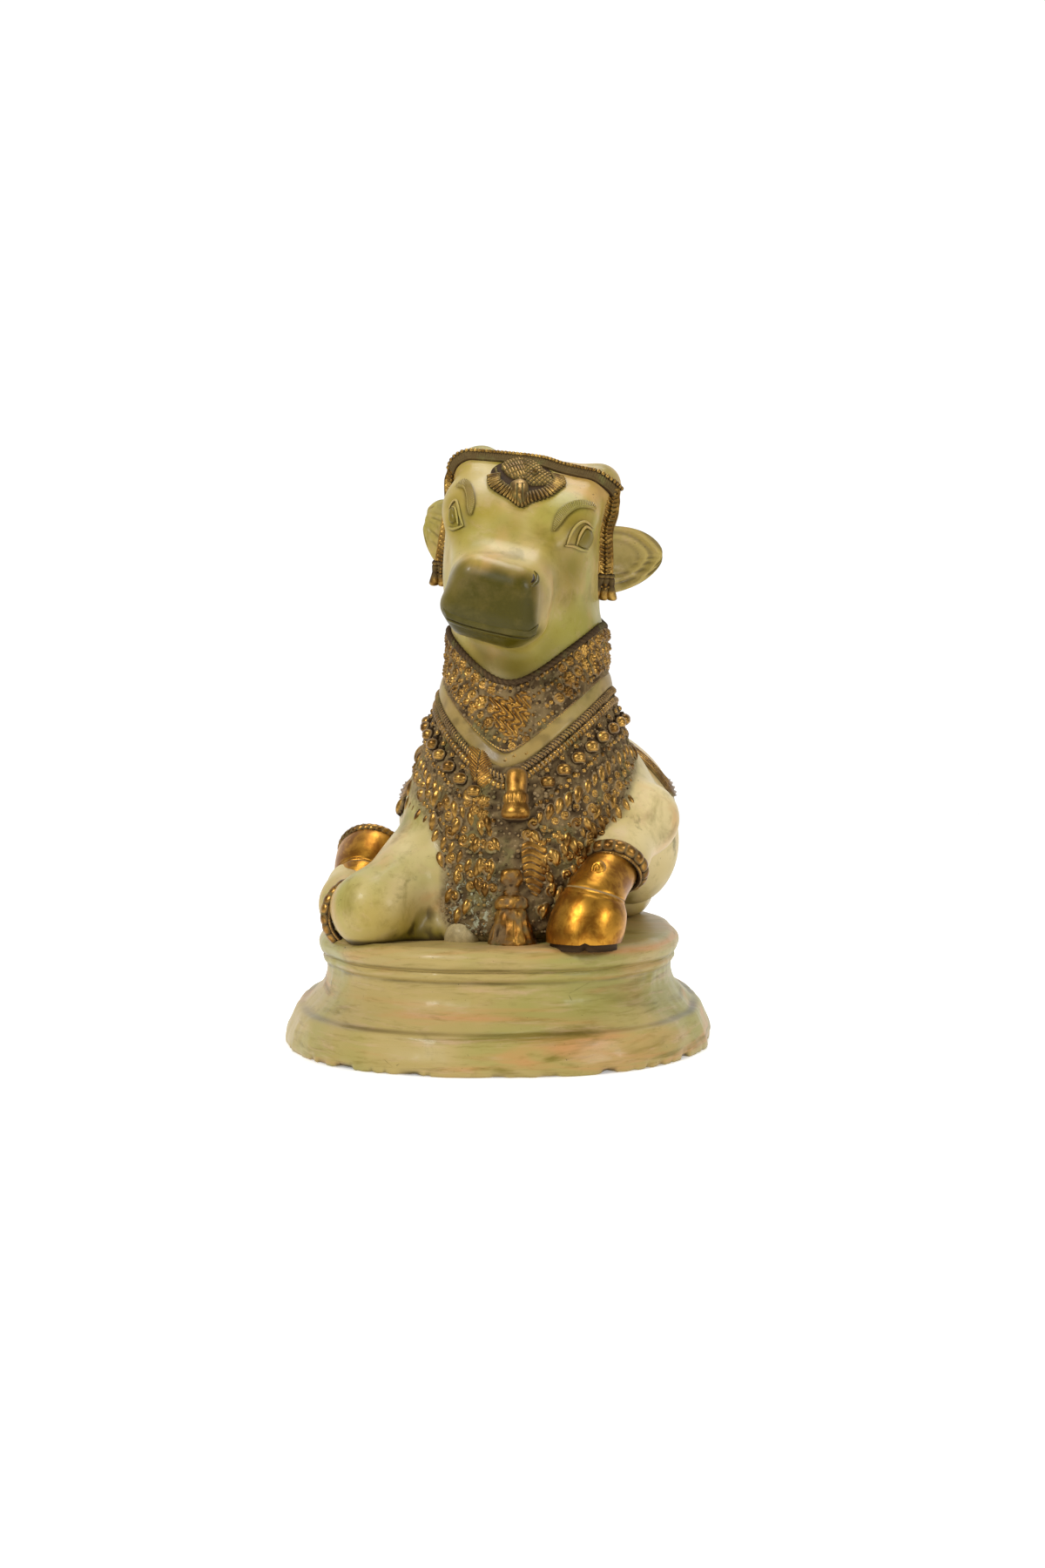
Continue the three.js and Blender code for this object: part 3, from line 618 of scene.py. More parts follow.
def strip(one, other, field, height, columns=10, sink=0.6):
    # a patch between two lines with the same number of points; height(u, s), u from 0 to 1 across
    u = np.linspace(0, 1, columns)[None, :, None]
    points = settled(field, one.points[:, None] * (1 - u) + other.points[:, None] * u)
    rows = len(one.points)
    tall = height(u[..., 0], one.s[:, None]) * np.ones((rows, columns))
    raised = rise(0.1, 0.9, tall / tall.max())
    tall[:, 0] = tall[:, -1] = tall[0] = tall[-1] = -sink
    points = points + normalsOf(field, points.reshape(-1, 3)).reshape(points.shape) * tall[:, :, None]
    faces = gridFaces(rows, columns)
    side = other.points[rows // 2] - one.points[rows // 2]
    out = normalsOf(field, one.points[rows // 2][None])[0]
    if np.cross(one.points[-1] - one.points[0], side) @ out <= 0:
        faces = faces[:, ::-1]
    return Form(points.reshape(-1, 3), [faces], raised.ravel())


# Strands round the neck: heights at the front, the side and the back, the turn 0 at the front

neckAxis = {"x": 21, "y": -62}
strandTurn = -10  # degrees


def turnOf(p):
    # the angle round the neck, 0 in front of the chest
    return np.arctan2(p[:, 0] - neckAxis["x"], neckAxis["y"] - p[:, 1])


def hangAt(angle, heights):
    # how high a strand hangs at an angle round the neck: lowest in front of the chest, rounded there
    front, side, back = heights
    hang = angle - math.radians(strandTurn)
    inFront = np.cos(hang) > 0
    s = np.abs(np.sin(hang))
    soft = 0.3 if front > 150 else 0.1  # rounder for the high strands
    s = np.where(inFront, (np.sqrt(s * s + soft * soft) - soft) / (math.sqrt(1 + soft * soft) - soft), s)
    return np.where(inFront, blend(front, side, s), blend(back, side, s))


def neckPoints(angle, z):
    start = np.stack([np.full_like(z, neckAxis["x"]), np.full_like(z, neckAxis["y"]), z], 1)
    return castOut(trunk, start, np.stack([np.sin(angle), -np.cos(angle), np.zeros_like(z)], 1))


wholeTurn, neckSteps = (-180, 180), 240


def neckLine(heights, step, turns=wholeTurn):
    closed = turns == wholeTurn
    angle = np.radians(np.linspace(*turns, neckSteps, endpoint=not closed))
    return Line(neckPoints(angle, hangAt(angle, heights)), trunk, step, closed)


neck = {
    "chinRope": (183, 229, 268), "plainBand": (127, 188, 236), "twistRope": (116, 180, 229),
    "coils": (109, 173, 222), "bells": (97, 160, 205), "string": (84, 148, 190), "drops": (78, 141, 182),
    "curls": (64, 126, 165), "lowString": (55, 116, 150), "lowDrops": (50, 110, 140),
    "lowCurls": (36, 95, 120),
}


# Shader maths in plain expressions

class Tone:
    def __init__(self, shade, socket):
        self.shade, self.socket = shade, socket

    def maths(self, operation, other, swapped=False):
        pair = (other, self) if swapped else (self, other)
        return self.shade.add("ShaderNodeMath", {"operation": operation}, dict(enumerate(pair)))

    def __add__(self, other):
        return self.maths("ADD", other)

    def __radd__(self, other):
        return self.maths("ADD", other, True)

    def __sub__(self, other):
        return self.maths("SUBTRACT", other)

    def __rsub__(self, other):
        return self.maths("SUBTRACT", other, True)

    def __mul__(self, other):
        return self.maths("MULTIPLY", other)

    def __rmul__(self, other):
        return self.maths("MULTIPLY", other, True)


class Shade:
    def __init__(self, name):
        self.material = bpy.data.materials.new(name)
        self.material.use_nodes = True
        self.tree = self.material.node_tree
        self.surface = self.tree.nodes["Principled BSDF"]

    def add(self, kind, settings, inputs=None, output=0):
        node = self.tree.nodes.new(kind)
        for key, value in settings.items():
            setattr(node, key, value)
        for key, value in (inputs or {}).items():
            self.give(node.inputs[key], value)
        return Tone(self, node.outputs[output])

    def give(self, socket, value):
        if isinstance(value, Tone):
            self.tree.links.new(value.socket, socket)
        else:
            socket.default_value = value

    def set(self, **inputs):
        names = {key.lower().replace(" ", ""): key for key in self.surface.inputs.keys()}
        for key, value in inputs.items():
            self.give(self.surface.inputs[names[key.lower()]], value)

    def attribute(self, name):
        return self.add("ShaderNodeAttribute", {"attribute_name": name}, output="Fac")

    def mix(self, factor, a, b):
        return self.add("ShaderNodeMix", {"data_type": "RGBA"}, {0: factor, 6: a, 7: b}, output=2)

    def band(self, value, lo, hi):
        settings = {"interpolation_type": "SMOOTHSTEP"}
        return self.add("ShaderNodeMapRange", settings, {0: value, 1: lo, 2: hi, 3: 0.0, 4: 1.0})

    def place(self, stretch=(1, 1, 1), turn=(0, 0, 0)):
        spot = self.add("ShaderNodeTexCoord", {}, output="Object")
        return self.add("ShaderNodeMapping", {}, {"Vector": spot, "Scale": stretch, "Rotation": turn})

    def noise(self, where, scale, detail=4.0, rough=0.55, warp=0.0):
        inputs = {"Vector": where, "Scale": scale, "Detail": detail, "Roughness": rough, "Distortion": warp}
        return self.add("ShaderNodeTexNoise", {}, inputs)


def tint(code):
    channels = [int(code[n:n + 2], 16) / 255 for n in (0, 2, 4)]
    return (*[c / 12.92 if c < 0.04045 else ((c + 0.055) / 1.055) ** 2.4 for c in channels], 1)


skinFinish = {
    "cream": "CCB986", "gold": "98801E", "green": "948E3C", "olive": "6E5F16", "moss": "44460E",
    "peach": "C4945A", "pink": "C09E7C", "dark": "2A1D0A", "muzzle": "423B02", "dust": "8C7A58",
    "soil": "4A3A22", "brass": "A9762A",
    "gloss": 0.28, "coat": 0.06, "bump": 0.22, "cracks": 0.0, "streaks": 1.0,
}


# the patina's streaks: the colour, the texture's scale, detail, roughness and warp, its band and the strength
streaks = [
    ("peach", (13, 4, 0.55, 0.8), (0.50, 0.70), 0.55), ("olive", (19, 5, 0.6, 0.6), (0.53, 0.70), 0.6),
    ("pink", (47, 5, 0.7, 0.5), (0.50, 0.75), 0.4), ("olive", (90, 5, 0.7, 0.3), (0.50, 0.72), 0.3),
]


def tintsOf(finish):
    return {key: tint(value) for key, value in finish.items() if isinstance(value, str)}


def patina(name, flow=(1, 1, 1), finish=skinFinish, **changes):
    finish = {**finish, **changes}
    shade, c = Shade(name), tintsOf(finish)
    where, brushed = shade.place(), shade.place(flow)
    tone = shade.mix(shade.attribute("ochre"), c["cream"], c["gold"])
    clouds = shade.band(shade.noise(where, 11, 2, 0.5, 0.4), 0.42, 0.66)
    tone = shade.mix(clouds * 0.75, tone, c["green"])
    for colour, texture, band, strength in streaks:
        streak = shade.band(shade.noise(brushed, *texture), *band) * strength
        tone = shade.mix(streak * finish["streaks"], tone, c[colour])
    moss = shade.band(shade.noise(where, 24, 6, 0.65, 0.5), 0.60, 0.70)
    tone = shade.mix(moss * (0.6 - 0.55 * shade.attribute("ochre")), tone, c["moss"])
    # olive where the values ask for it: the olive patina, and on the head also painted shade
    tone = shade.mix(shade.attribute("shaded"), tone, c["olive"])
    # the dark muzzle: its darker patina, and painted shade on its front and under the lower lip
    darkMuzzle = shade.attribute("muzzle") * (0.8 + 0.4 * shade.noise(where, 60, 5, 0.7))
    tone = shade.mix(darkMuzzle, tone, c["muzzle"])
    grain = shade.noise(where, 240, 5, 0.75)
    soil = shade.mix(shade.band(grain, 0.40, 0.60), c["soil"], c["dust"])
    tone = shade.mix(shade.attribute("dusty"), tone, soil)
    pits = shade.band(shade.noise(where, 380, 3, 0.6), 0.68, 0.73)
    pits = pits * shade.band(shade.noise(where, 22, 3), 0.45, 0.65)
    lines = shade.place((1, 1, 9), (0.5, 0.3, 0.2))
    scratch = shade.band(shade.noise(lines, 85, 5, 0.7, 0.4), 0.70, 0.735) * 0.6
    edges = {"feature": "DISTANCE_TO_EDGE"}
    edge = shade.add("ShaderNodeTexVoronoi", edges, {"Vector": where, "Scale": 34.0})
    crack = shade.band(edge, 0.014, 0.004) * shade.band(shade.noise(where, 30, 3), 0.66, 0.72)
    crack = crack * finish["cracks"]
    # dark in pits, scratches and cracks, and along the groove values: dark lines in the carving and its
    # creases, partly painted shade
    marksAndShade = pits + scratch + crack * 0.8 + shade.attribute("groove")
    tone = shade.mix(shade.add("ShaderNodeClamp", {}, {"Value": marksAndShade}), tone, c["dark"])
    rubbed = shade.attribute("raised")
    tone = shade.mix(rubbed, tone, c["brass"])
    height = shade.noise(where, 800, 4, 0.6) * 0.35 + shade.noise(where, 110, 3, 0.5) * 0.9
    height = height - pits * 1.1 - crack
    bump = shade.add("ShaderNodeBump", {}, {"Strength": finish["bump"], "Distance": 0.0006, "Height": height})
    rough = finish["gloss"] + 0.25 * shade.noise(where, 50, 4) + 0.35 * shade.attribute("dusty")
    rough = rough - 0.1 * rubbed
    shade.set(basecolor=tone, roughness=rough, metallic=rubbed * 0.85, normal=bump, speculariorlevel=0.18,
              coatweight=finish["coat"], coatroughness=0.12)
    return shade.material


brassFinish = {
    "bright": "AC8442", "deep": "6E4E24", "brown": "36250F", "dust": "8C7653", "green": "6F6E3C",
    "crust": "A3A488", "gloss": 0.33, "bump": 0.35, "low": 0.12, "flat": 0.38, "crest": 0.75,
}


def brass(name, finish=brassFinish, **changes):
    finish = {**finish, **changes}
    shade, c = Shade(name), tintsOf(finish)
    where = shade.place()
    mottle = shade.noise(where, 75, 5, 0.65, 0.4)
    height = shade.attribute("raised") + 0.35 * mottle - 0.175
    bare = shade.band(height, finish["flat"], finish["crest"])
    dusty = shade.band(height, finish["low"], finish["flat"])
    metal = shade.mix(shade.band(mottle, 0.38, 0.62), c["deep"], c["bright"])
    dust = shade.mix(shade.band(shade.noise(where, 42, 4, 0.6), 0.50, 0.66) * 0.6, c["dust"], c["green"])
    dust = shade.mix(shade.band(shade.noise(where, 330, 4, 0.7), 0.5, 0.7) * 0.5, dust, c["brown"])
    # dark brown in the deepest recesses, dirt and painted shade in place of their shadow; dust on the
    # shallower ground and bare metal on the crests
    tone = shade.mix(bare, shade.mix(dusty, c["brown"], dust), metal)
    crust = shade.band(shade.noise(where, 210, 4, 0.7, 0.5), 0.50, 0.62) * shade.attribute("crust")
    tone = shade.mix(crust, tone, c["crust"])
    bare = bare * (1 - crust)
    fine = shade.noise(where, 650, 5, 0.65)
    bump = shade.add("ShaderNodeBump", {}, {"Strength": finish["bump"], "Distance": 0.0005, "Height": fine})
    rough = 0.80 - bare * (0.80 - finish["gloss"]) + 0.14 * shade.noise(where, 140, 3) - 0.07
    shade.set(basecolor=tone, roughness=rough, metallic=bare * 0.95, normal=bump, speculariorlevel=0.2)
    return shade.material


skinPatina = patina("body_patina")
bandPatina = patina("band_patina", cream="BCA878", gold="93783A", green="9A8C50", olive="6E5A2A")
plinthPatina = patina(
    "plinth_patina", (0.4, 0.4, 3.4), cracks=1.0, streaks=1.4,
    peach="BE8654", cream="C2AE80", gold="A08A44", green="94904A",
)


def brassOf(name, colours, band, **changes):
    # colours: bright, deep and dust; band: where dust and bare metal begin, and where all is bare
    named = dict(zip(("bright", "deep", "dust", "low", "flat", "crest"), (*colours, *band)))
    return brass(name, **named, **changes)


wornBrass = brass("worn_brass")
darkBrass = brassOf("dark_brass", ("6E5533", "3E2E1A", "46351F"), (0.12, 0.38, 1.1))
polishedBrass = brassOf(
    "polished_brass", ("BE8830", "8C5A1A", "8C7653"), (-0.4, -0.2, 0.5), gloss=0.36, bump=0.15)
clothBrass = brassOf("cloth_brass", ("A07C44", "6A4B22", "6E5736"), (0.0, 0.2, 0.9))
groundBrass = brassOf("ground_brass", ("AC8442", "6E4E24", "8A744C"), (-0.25, 1.0, 2.0), brown="3C2A14")
strapBrass = brassOf("strap_brass", ("A88644", "6A4C20", "5C4A28"), (0.3, 0.66, 0.92))
ankletBrass = brassOf("anklet_brass", ("A87E3E", "64441E", "6A5632"), (0.22, 0.46, 0.88))
medalBrass = brassOf("medal_brass", ("96783E", "5E4622", "66582E"), (0.15, 0.4, 0.95), gloss=0.42)
gildedBrass = brassOf("gilded_brass", ("A67A36", "6E4A1E", "725A38"), (0.15, 0.36, 0.85), gloss=0.4)


# The skin of the head and of the body

skins = {
    "headCell": 1.35, "headBox": ((-66, -225, 172), (126, 66, 400)),
    "bodyCell": 2.65, "bodyBox": ((-160, -220, -14), (170, 205, 290)),
    "overlap": 3, "drawnIn": 1.2, "lineWidth": 1.15, "lineStrength": 0.55,
}


def halfOf(side):
    # the figure above the edge under the chin (1) or below it (-1); both overlap there, and the rim
    # of each is drawn in, to hide beneath the rope
    overlap = skins["overlap"]

    def value(p):
        past = side * (hangAt(turnOf(p), neck["chinRope"]) - p[:, 2])
        return np.maximum(figure(p) + skins["drawnIn"] * rise(-overlap, 1, past), past - overlap)

    return value


# dark olive on the head: the olive patina round the eyes, on the horns and by the nose, and painted shade
# under the chin and on the cheeks that face down; the photograph's point, the radius in millimetres and the
# strength
shadedSpots = [
    ((662, 606), 15, 0.75), ((655, 655), 20, 0.7), ((672, 690), 16, 0.25), ((530, 598), 11, 0.6),
    ((645, 632), 13, 0.5), ((600, 640), 12, 0.25), ((625, 690), 13, 0.45), ((690, 640), 12, 0.35),
    ((560, 570), 12, 0.2), ((521, 575), 9, 0.4), ((640, 668), 15, 0.6), ((655, 682), 14, 0.5),
    ((628, 650), 11, 0.4), ((683, 625), 9, 0.5), ((545, 762), 20, 0.85), ((590, 768), 20, 0.85),
    ((525, 740), 12, 0.5), ((625, 745), 14, 0.4), ((550, 512), 14, 0.5), ((692, 545), 14, 0.5),
    ((585, 605), 14, 0.3), ((545, 625), 8, 0.25), ((620, 612), 10, 0.35),
]


def nearLines(points, lines, width, lowest=250):
    # how close each point is to any of the lines, from 1 on them to 0; none of them runs below the lowest
    tree = kdtree.KDTree(sum(len(line.points) for line in lines))
    for n, spot in enumerate(np.concatenate([line.points for line in lines])):
        tree.insert(spot, n)
    tree.balance()
    away = np.full(len(points), np.inf)
    high = points[:, 2] > lowest
    away[high] = [tree.find(spot)[2] for spot in points[high]]
    return ridge(away, width)


def faceLines(step=0.8):
    closed = [photoLine(corners, step, True) for corners in facePixels["eyes"]]
    brows = [corners for pair in facePixels["brows"] for corners in pair]
    return closed + [photoLine(corners, step) for corners in facePixels["lids"] + brows]


def bodyOchre(p):
    low = rise(60, 20, p[:, 2] + 14 * noise(p, 22, 13)) * rise(30, 0, p[:, 0])
    return np.clip(0.12 + 0.4 * noise(p, 40, 10) + 0.2 * noise(p, 15, 12) + 0.35 * low, 0, 1)


def addHead():
    points, quads = fieldSkin(halfOf(1), *skins["headBox"], skins["headCell"])
    nose, face = inHead(points, muzzleAxes), inHead(points)
    # the dark muzzle: what faces forwards, low on the nose, and the lower lip, paler on the bull's right;
    # partly the muzzle's own darker patina, partly painted shade on the faces turned forward and down
    front = -(normalsOf(figure, points) @ muzzleAxes[1][1])
    muzzle = rise(-0.45, 0.6, front + 0.2 * noise(points, 10, 3)) * rise(-10, -26, nose[:, 1])
    muzzle = muzzle * rise(20, 6, nose[:, 2] - 0.12 * nose[:, 0] + 3 * noise(points, 12, 5))
    muzzle = np.maximum(muzzle, rise(-14, -24, nose[:, 2]) * rise(4, -16, nose[:, 1]) * 0.9)
    muzzle = muzzle * blend(0.7, 1.0, rise(-34, 4, nose[:, 0] - 0.5 * nose[:, 2] + 8 * noise(points, 16, 9)))
    # the golden face, paler towards the throat
    ochre = np.clip(0.72 + 0.35 * noise(points, 30, 4) + 0.2 * noise(points, 11, 6), 0, 1)
    ochre = ochre * rise(-115, -60, face[:, 2] + 12 * noise(points, 25, 7))
    # dark olive patches, partly painted shade under the chin and on the cheeks
    shaded = np.zeros(len(points))
    for pixel, reach, strength in shadedSpots:
        away = np.linalg.norm(points - seen([pixel]), axis=1)
        shaded = np.maximum(shaded, strength * ridge(away, reach))
    # dark beside the lids and brows: partly dark patina in the carving, partly painted shade in its creases
    groove = skins["lineStrength"] * nearLines(points, faceLines(), skins["lineWidth"])
    values = {"muzzle": muzzle, "ochre": ochre, "shaded": shaded, "groove": groove}
    addPiece("bull_head", Form(points, [quads]), skinPatina, **values)


def addBody():
    points, quads = fieldSkin(halfOf(-1), *skins["bodyBox"], skins["bodyCell"])
    # a painted shadow along the front of the body just above the plinth, and the stained crust beside the
    # knee
    baseShadow = rise(3.5, 0.2, points[:, 2]) * rise(10, -20, points[:, 0]) * rise(-60, -90, points[:, 1])
    stain = rise(34, 4, points[:, 2] + 12 * noise(points, 10, 8)) * rise(-0.2, 0.35, noise(points, 16, 9))
    stain = stain * rise(-100, -60, points[:, 0]) * rise(0, -60, points[:, 1])
    specks = stain * rise(0.1, 0.4, noise(points, 6, 19)) * rise(10, -30, points[:, 0])
    values = {"dusty": groundShare(points), "ochre": bodyOchre(points), "shaded": stain * 0.95}
    values["groove"] = np.maximum(baseShadow * 0.95, specks * 0.8)
    main = addPiece("bull_body", Form(points, [quads]), skinPatina, **values)
    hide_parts("nandi_bull")


# the carving's lower edge round the neck: turns, and heights there
groundLow = [
    [-180, -130, -112, -95, -80, -70, -48, -36, -20, 20, 32, 45, 70, 80, 95, 112, 130, 180],
    [212, 186, 150, 110, 86, 64, 34, 2, -3, -3, 4, 40, 77, 94, 116, 152, 188, 212],
]


def groundShare(p):
    # how much of the neck's dusty ground a point of the body lies in
    low = np.interp(np.degrees(turnOf(p)), *groundLow)
    return rise(-8, 6, p[:, 2] - low + 6 * noise(p, 12, 5)) * rise(5, 2, trunk(p)) * 0.8


# The plinth: rings of a rounded oval, from the floor up and in under the figure

plinthShape = {
    "roundness": 2.45, "columns": 540,
    "skirt": 24, "skirtIn": 8, "step": 7, "waist": 31, "roll": 9, "rollOut": 6, "bead": 2.6, "beadAt": 62.5,
}
# its wear in millimetres, and the dark lines along the corners of its mouldings, partly painted shade; wander
# is a slow unevenness: depth, size, seed and how much shorter it is upwards
plinthWearAndShade = {
    "wander": [(2.4, 75, 11, 1.0), (1.3, 34, 12, 2.2), (0.35, 8, 13, 1.0)], "topShare": 0.6,
    "chips": 2.4, "smallChips": 1.1, "sag": 0.55, "lineWidth": 0.9, "lineStrength": 0.4, "darkest": 0.9,
}


def plinthProfile():
    # how far in from the foot's edge, and how high: skirt, step, hollow, bead and rolled edge
    s = plinthShape
    waist, skirt, skirtIn = s["waist"], s["skirt"], s["skirtIn"]
    middle, edge = plinthTop - s["roll"], waist - s["rollOut"]
    low = [
        (0.3, 0.2), (0, 3), (1.2, 9), (skirtIn - 2.5, skirt - 5), (skirtIn, skirt),
        (skirtIn + 1.8, skirt + 1.6), (skirtIn + s["step"], skirt + 3),
        (skirtIn + s["step"] + 2.2, skirt + 5), (waist - 9, skirt + 10),
        (waist - 3, skirt + 17), (waist, (skirt + middle) / 2 + 1), (waist, middle - 14.5),
    ]
    for degrees in (-70, -30, 0, 30, 70):
        turn = math.radians(degrees)
        low.append((waist - s["bead"] * math.cos(turn), s["beadAt"] + 3.5 * math.sin(turn)))
    for degrees in (-62, -40, -20, 0, 20, 40, 60, 80, 90):
        turn = math.radians(degrees)
        low.append((edge + s["roll"] * (1 - math.cos(turn)), middle + s["roll"] * math.sin(turn)))
    corners = curve(low, 260).tolist()
    return np.array([(60, 0), (8, 0.05)] + corners + [(60, plinthTop), (120, plinthTop)], float)


def plinthRows():
    # how far along the profile each row lies, how far in and how high; the rows are close together outside
    corners = plinthProfile()
    lengths = np.concatenate([[0], np.cumsum(np.linalg.norm(np.diff(corners, axis=0), axis=1))])
    ways = np.concatenate([[0, 30], np.arange(50, 172, 1.6), np.arange(172, lengths[-1], 7.0)])
    return ways, *(np.interp(ways, lengths, corners[:, n]) for n in (0, 1))


def addPlinth():
    s, wearAndShade = plinthShape, plinthWearAndShade
    ways, inset, z = plinthRows()
    outside, aboveFoot, onTop = ((ways > way)[:, None] for way in (40, 60, 150))
    turn = np.linspace(0, 2 * np.pi, s["columns"], endpoint=False)
    c, sn, power = np.cos(turn), np.sin(turn), s["roundness"]
    reach = (np.abs(c) ** power + np.abs(sn) ** power) ** (-1 / power)
    flat = np.stack([plinthHalf[0] * c * reach, plinthHalf[1] * sn * reach, 0 * turn], 1)
    rows = len(ways)
    p = np.tile(flat, (rows, 1))
    p[:, 2] = np.repeat(z, len(turn))
    wander = sum(
        depth * noise(p * vec(1, 1, shorter), size, seed) for depth, size, seed, shorter in wearAndShade["wander"]
    ).reshape(rows, -1)
    # chips in the foot's edge, large and small
    rim = np.interp(z, [0, 2, 5, 9], [1, 0.9, 0.25, 0])[:, None]
    chips = rise(0.35, 0.75, noise(flat, 13, 14)) * wearAndShade["chips"]
    chips = (chips + rise(0.1, 0.8, noise(flat, 5, 15)) * wearAndShade["smallChips"])[None]
    dips = np.where(onTop, wearAndShade["topShare"] * np.abs(wander), np.abs(wander) + rim * chips)
    inset = np.maximum(inset[:, None], 0) + dips * outside
    sag = wearAndShade["sag"] * np.abs(noise(p, 45, 16)).reshape(rows, -1) * rise(78, 82, z)[:, None] * aboveFoot
    lift = rim * (z < 3)[:, None] * outside * chips * 0.5
    x = (plinthHalf[0] - inset) * c * reach
    y = (plinthHalf[1] - inset) * sn * reach
    points = np.stack([x, y, z[:, None] - sag + lift - plinthTop], -1).reshape(-1, 3)
    fan = fanFaces(s["columns"], len(points), 0, True)
    points = np.concatenate([points, [[0, 0, -plinthTop]]])
    # dark in the chips, and along the corners of the mouldings, there partly painted shade
    groove = rim * rise(0.6, 1.6, chips) * rise(6, 0, z)[:, None] * 0.8
    heights = (s["beadAt"] - 4.6, s["beadAt"] + 4.8, s["skirt"] + 2.4)
    lines = sum(ridge(z, wearAndShade["lineWidth"], at) for at in heights)[:, None] * aboveFoot * ~onTop
    groove = groove + wearAndShade["lineStrength"] * lines * (1 + 0.8 * noise(p, 26, 17).reshape(rows, -1))
    groove = np.append(np.clip(groove, 0, wearAndShade["darkest"]).ravel(), 0)
    form = Form(points, [gridFaces(rows, s["columns"], closed=True), fan])
    addPiece("plinth_skin", form, plinthPatina, groove=groove, ochre=0.7)


def onTrunk(line, limit):
    return trunk(line.points) < limit


def twist(pitch, lobes=2, deep=0.16):
    return lambda s, turn: 1 - deep + deep * np.cos(lobes * (turn + 2 * np.pi * s / (lobes * pitch)))


def rings(pitch, deep=0.3):
    return lambda s, turn: 1 - deep + deep * np.abs(np.sin(np.pi * s / pitch)) ** 0.6


def between(a, b, t):
    return tuple(blend(x, y, t) for x, y in zip(neck[a], neck[b]))


def curlBoss(radius, tall, turns=1.6):
    def height(r, turn):
        groove = 0.5 + 0.5 * np.cos(turn - 2 * np.pi * turns * r)
        return dome(r) * (0.55 + 0.45 * groove)

    return bossForm(radius, tall, height, 7, 18)


def rosette(radius, tall, petals=7):
    def height(r, turn):
        petal = 0.62 + 0.38 * np.abs(np.cos(petals * turn / 2))
        return np.where(r < 0.36, 0.45 + 0.5 * ridge(r, 0.3), dome(r, 1.05) * petal)

    return bossForm(radius, tall, height, 7, 24)


# a bell's profile from its loop down: the radius and the height, as shares of half its width
bellProfile = [
    (0.02, -0.62), (0.34, -0.6), (0.42, -0.45), (0.3, -0.3), (0.62, -0.2), (0.9, 0.08), (1.0, 0.4),
    (0.98, 0.62), (0.9, 0.7), (0.94, 0.78), (0.8, 1.02), (0.45, 1.2), (0.02, 1.24),
]


def bellForm(size):
    return turnedForm(np.array(bellProfile) * size / 2, 14)


# each cord's heights, its step, radius, distance out and sides, and how it is twisted or ringed
cords = {
    "chin": (neck["chinRope"], 0.9, 2.7, 1.4, 12, twist(4.2, 3, 0.12)),
    "twisted": (neck["twistRope"], 0.72, 3.0, 1.4, 11, twist(2.8, 2, 0.17)),
    "coiled": (neck["coils"], 0.72, 2.9, 1.2, 10, rings(3.7, 0.30)),
    "thin": (between("plainBand", "chinRope", 0.13), 0.8, 1.3, 0.7, 8, twist(2.4, 2, 0.15)),
}
plainBand = {"step": 1.6, "width": 10.5, "edge": 1.3, "crown": 1.3, "scuffs": 0.3}


def cordForm(name, tallest=1.0):
    heights, step, radius, lift, sides, wave = cords[name]
    return swept(neckLine(heights, step), radius, lift, sides, wave, tallest)


def plainRelief(u, s):
    return plainBand["edge"] + plainBand["crown"] * dome(u, 1, 4)


def addNeckStrands():
    addPiece("chin_rope", cordForm("chin", 0.8), darkBrass)
    band = ribbon(neckLine(neck["plainBand"], plainBand["step"]), plainBand["width"], plainRelief)
    band.raised[:] = 0
    scuffs = rise(0.1, 0.7, noise(band.points, 6, 61)) * plainBand["scuffs"]
    addPiece("plain_band", band, bandPatina, ochre=0.8, shaded=0.2, groove=scuffs)
    addPiece("twisted_ropes", joined([cordForm(name) for name in ("twisted", "coiled", "thin")]), wornBrass)


def drawnSizes(count):
    # sizes that wander about 1 as set by hand, none of them far off
    return 1 + 0.17 * np.clip(draw.standard_normal(count), -1.6, 1.6)


# rows between the plain band and the chin rope: the share of the way up, and the pitch of the bosses;
# plateHalf is how many degrees the centre plate takes up to each side
collar = {
    "rows": [(0.84, 8.4), (0.60, 9.6), (0.36, 9.0)], "plateHalf": 17,
    "beadRows": (0.72, 0.48, 0.24, 0.93), "beadPitch": 4.1, "bead": 1.7, "beadsKept": 0.75,
}


def addCollarRelief():
    forms = []
    kinds = [curlBoss(5.0, 4.4), rosette(5.6, 4.2), curlBoss(4.4, 4.2, 1.2), rosette(4.6, 4.4, 5)]
    for row, (share, pitch) in enumerate(collar["rows"]):
        line = neckLine(between("plainBand", "chinRope", share), pitch)
        away = np.abs(np.degrees(turnOf(line.points))) > collar["plateHalf"]
        for n, kind in enumerate(kinds):
            keep = away & ((np.arange(len(line.s)) + row) % len(kinds) == n)
            sizes = drawnSizes(len(line.s))
            forms.append(line.set(kind, 0.2, sizes, draw.uniform(0, 6), keep))
    small = ballForm(collar["bead"], 8, 5)
    for share in collar["beadRows"]:
        line = neckLine(between("plainBand", "chinRope", share), collar["beadPitch"])
        keep = draw.random(len(line.s)) < collar["beadsKept"]
        forms.append(line.set(small, 1.0, draw.uniform(0.8, 1.25, len(line.s)), 0, keep))
    addPiece("collar_relief", joined(forms), wornBrass)


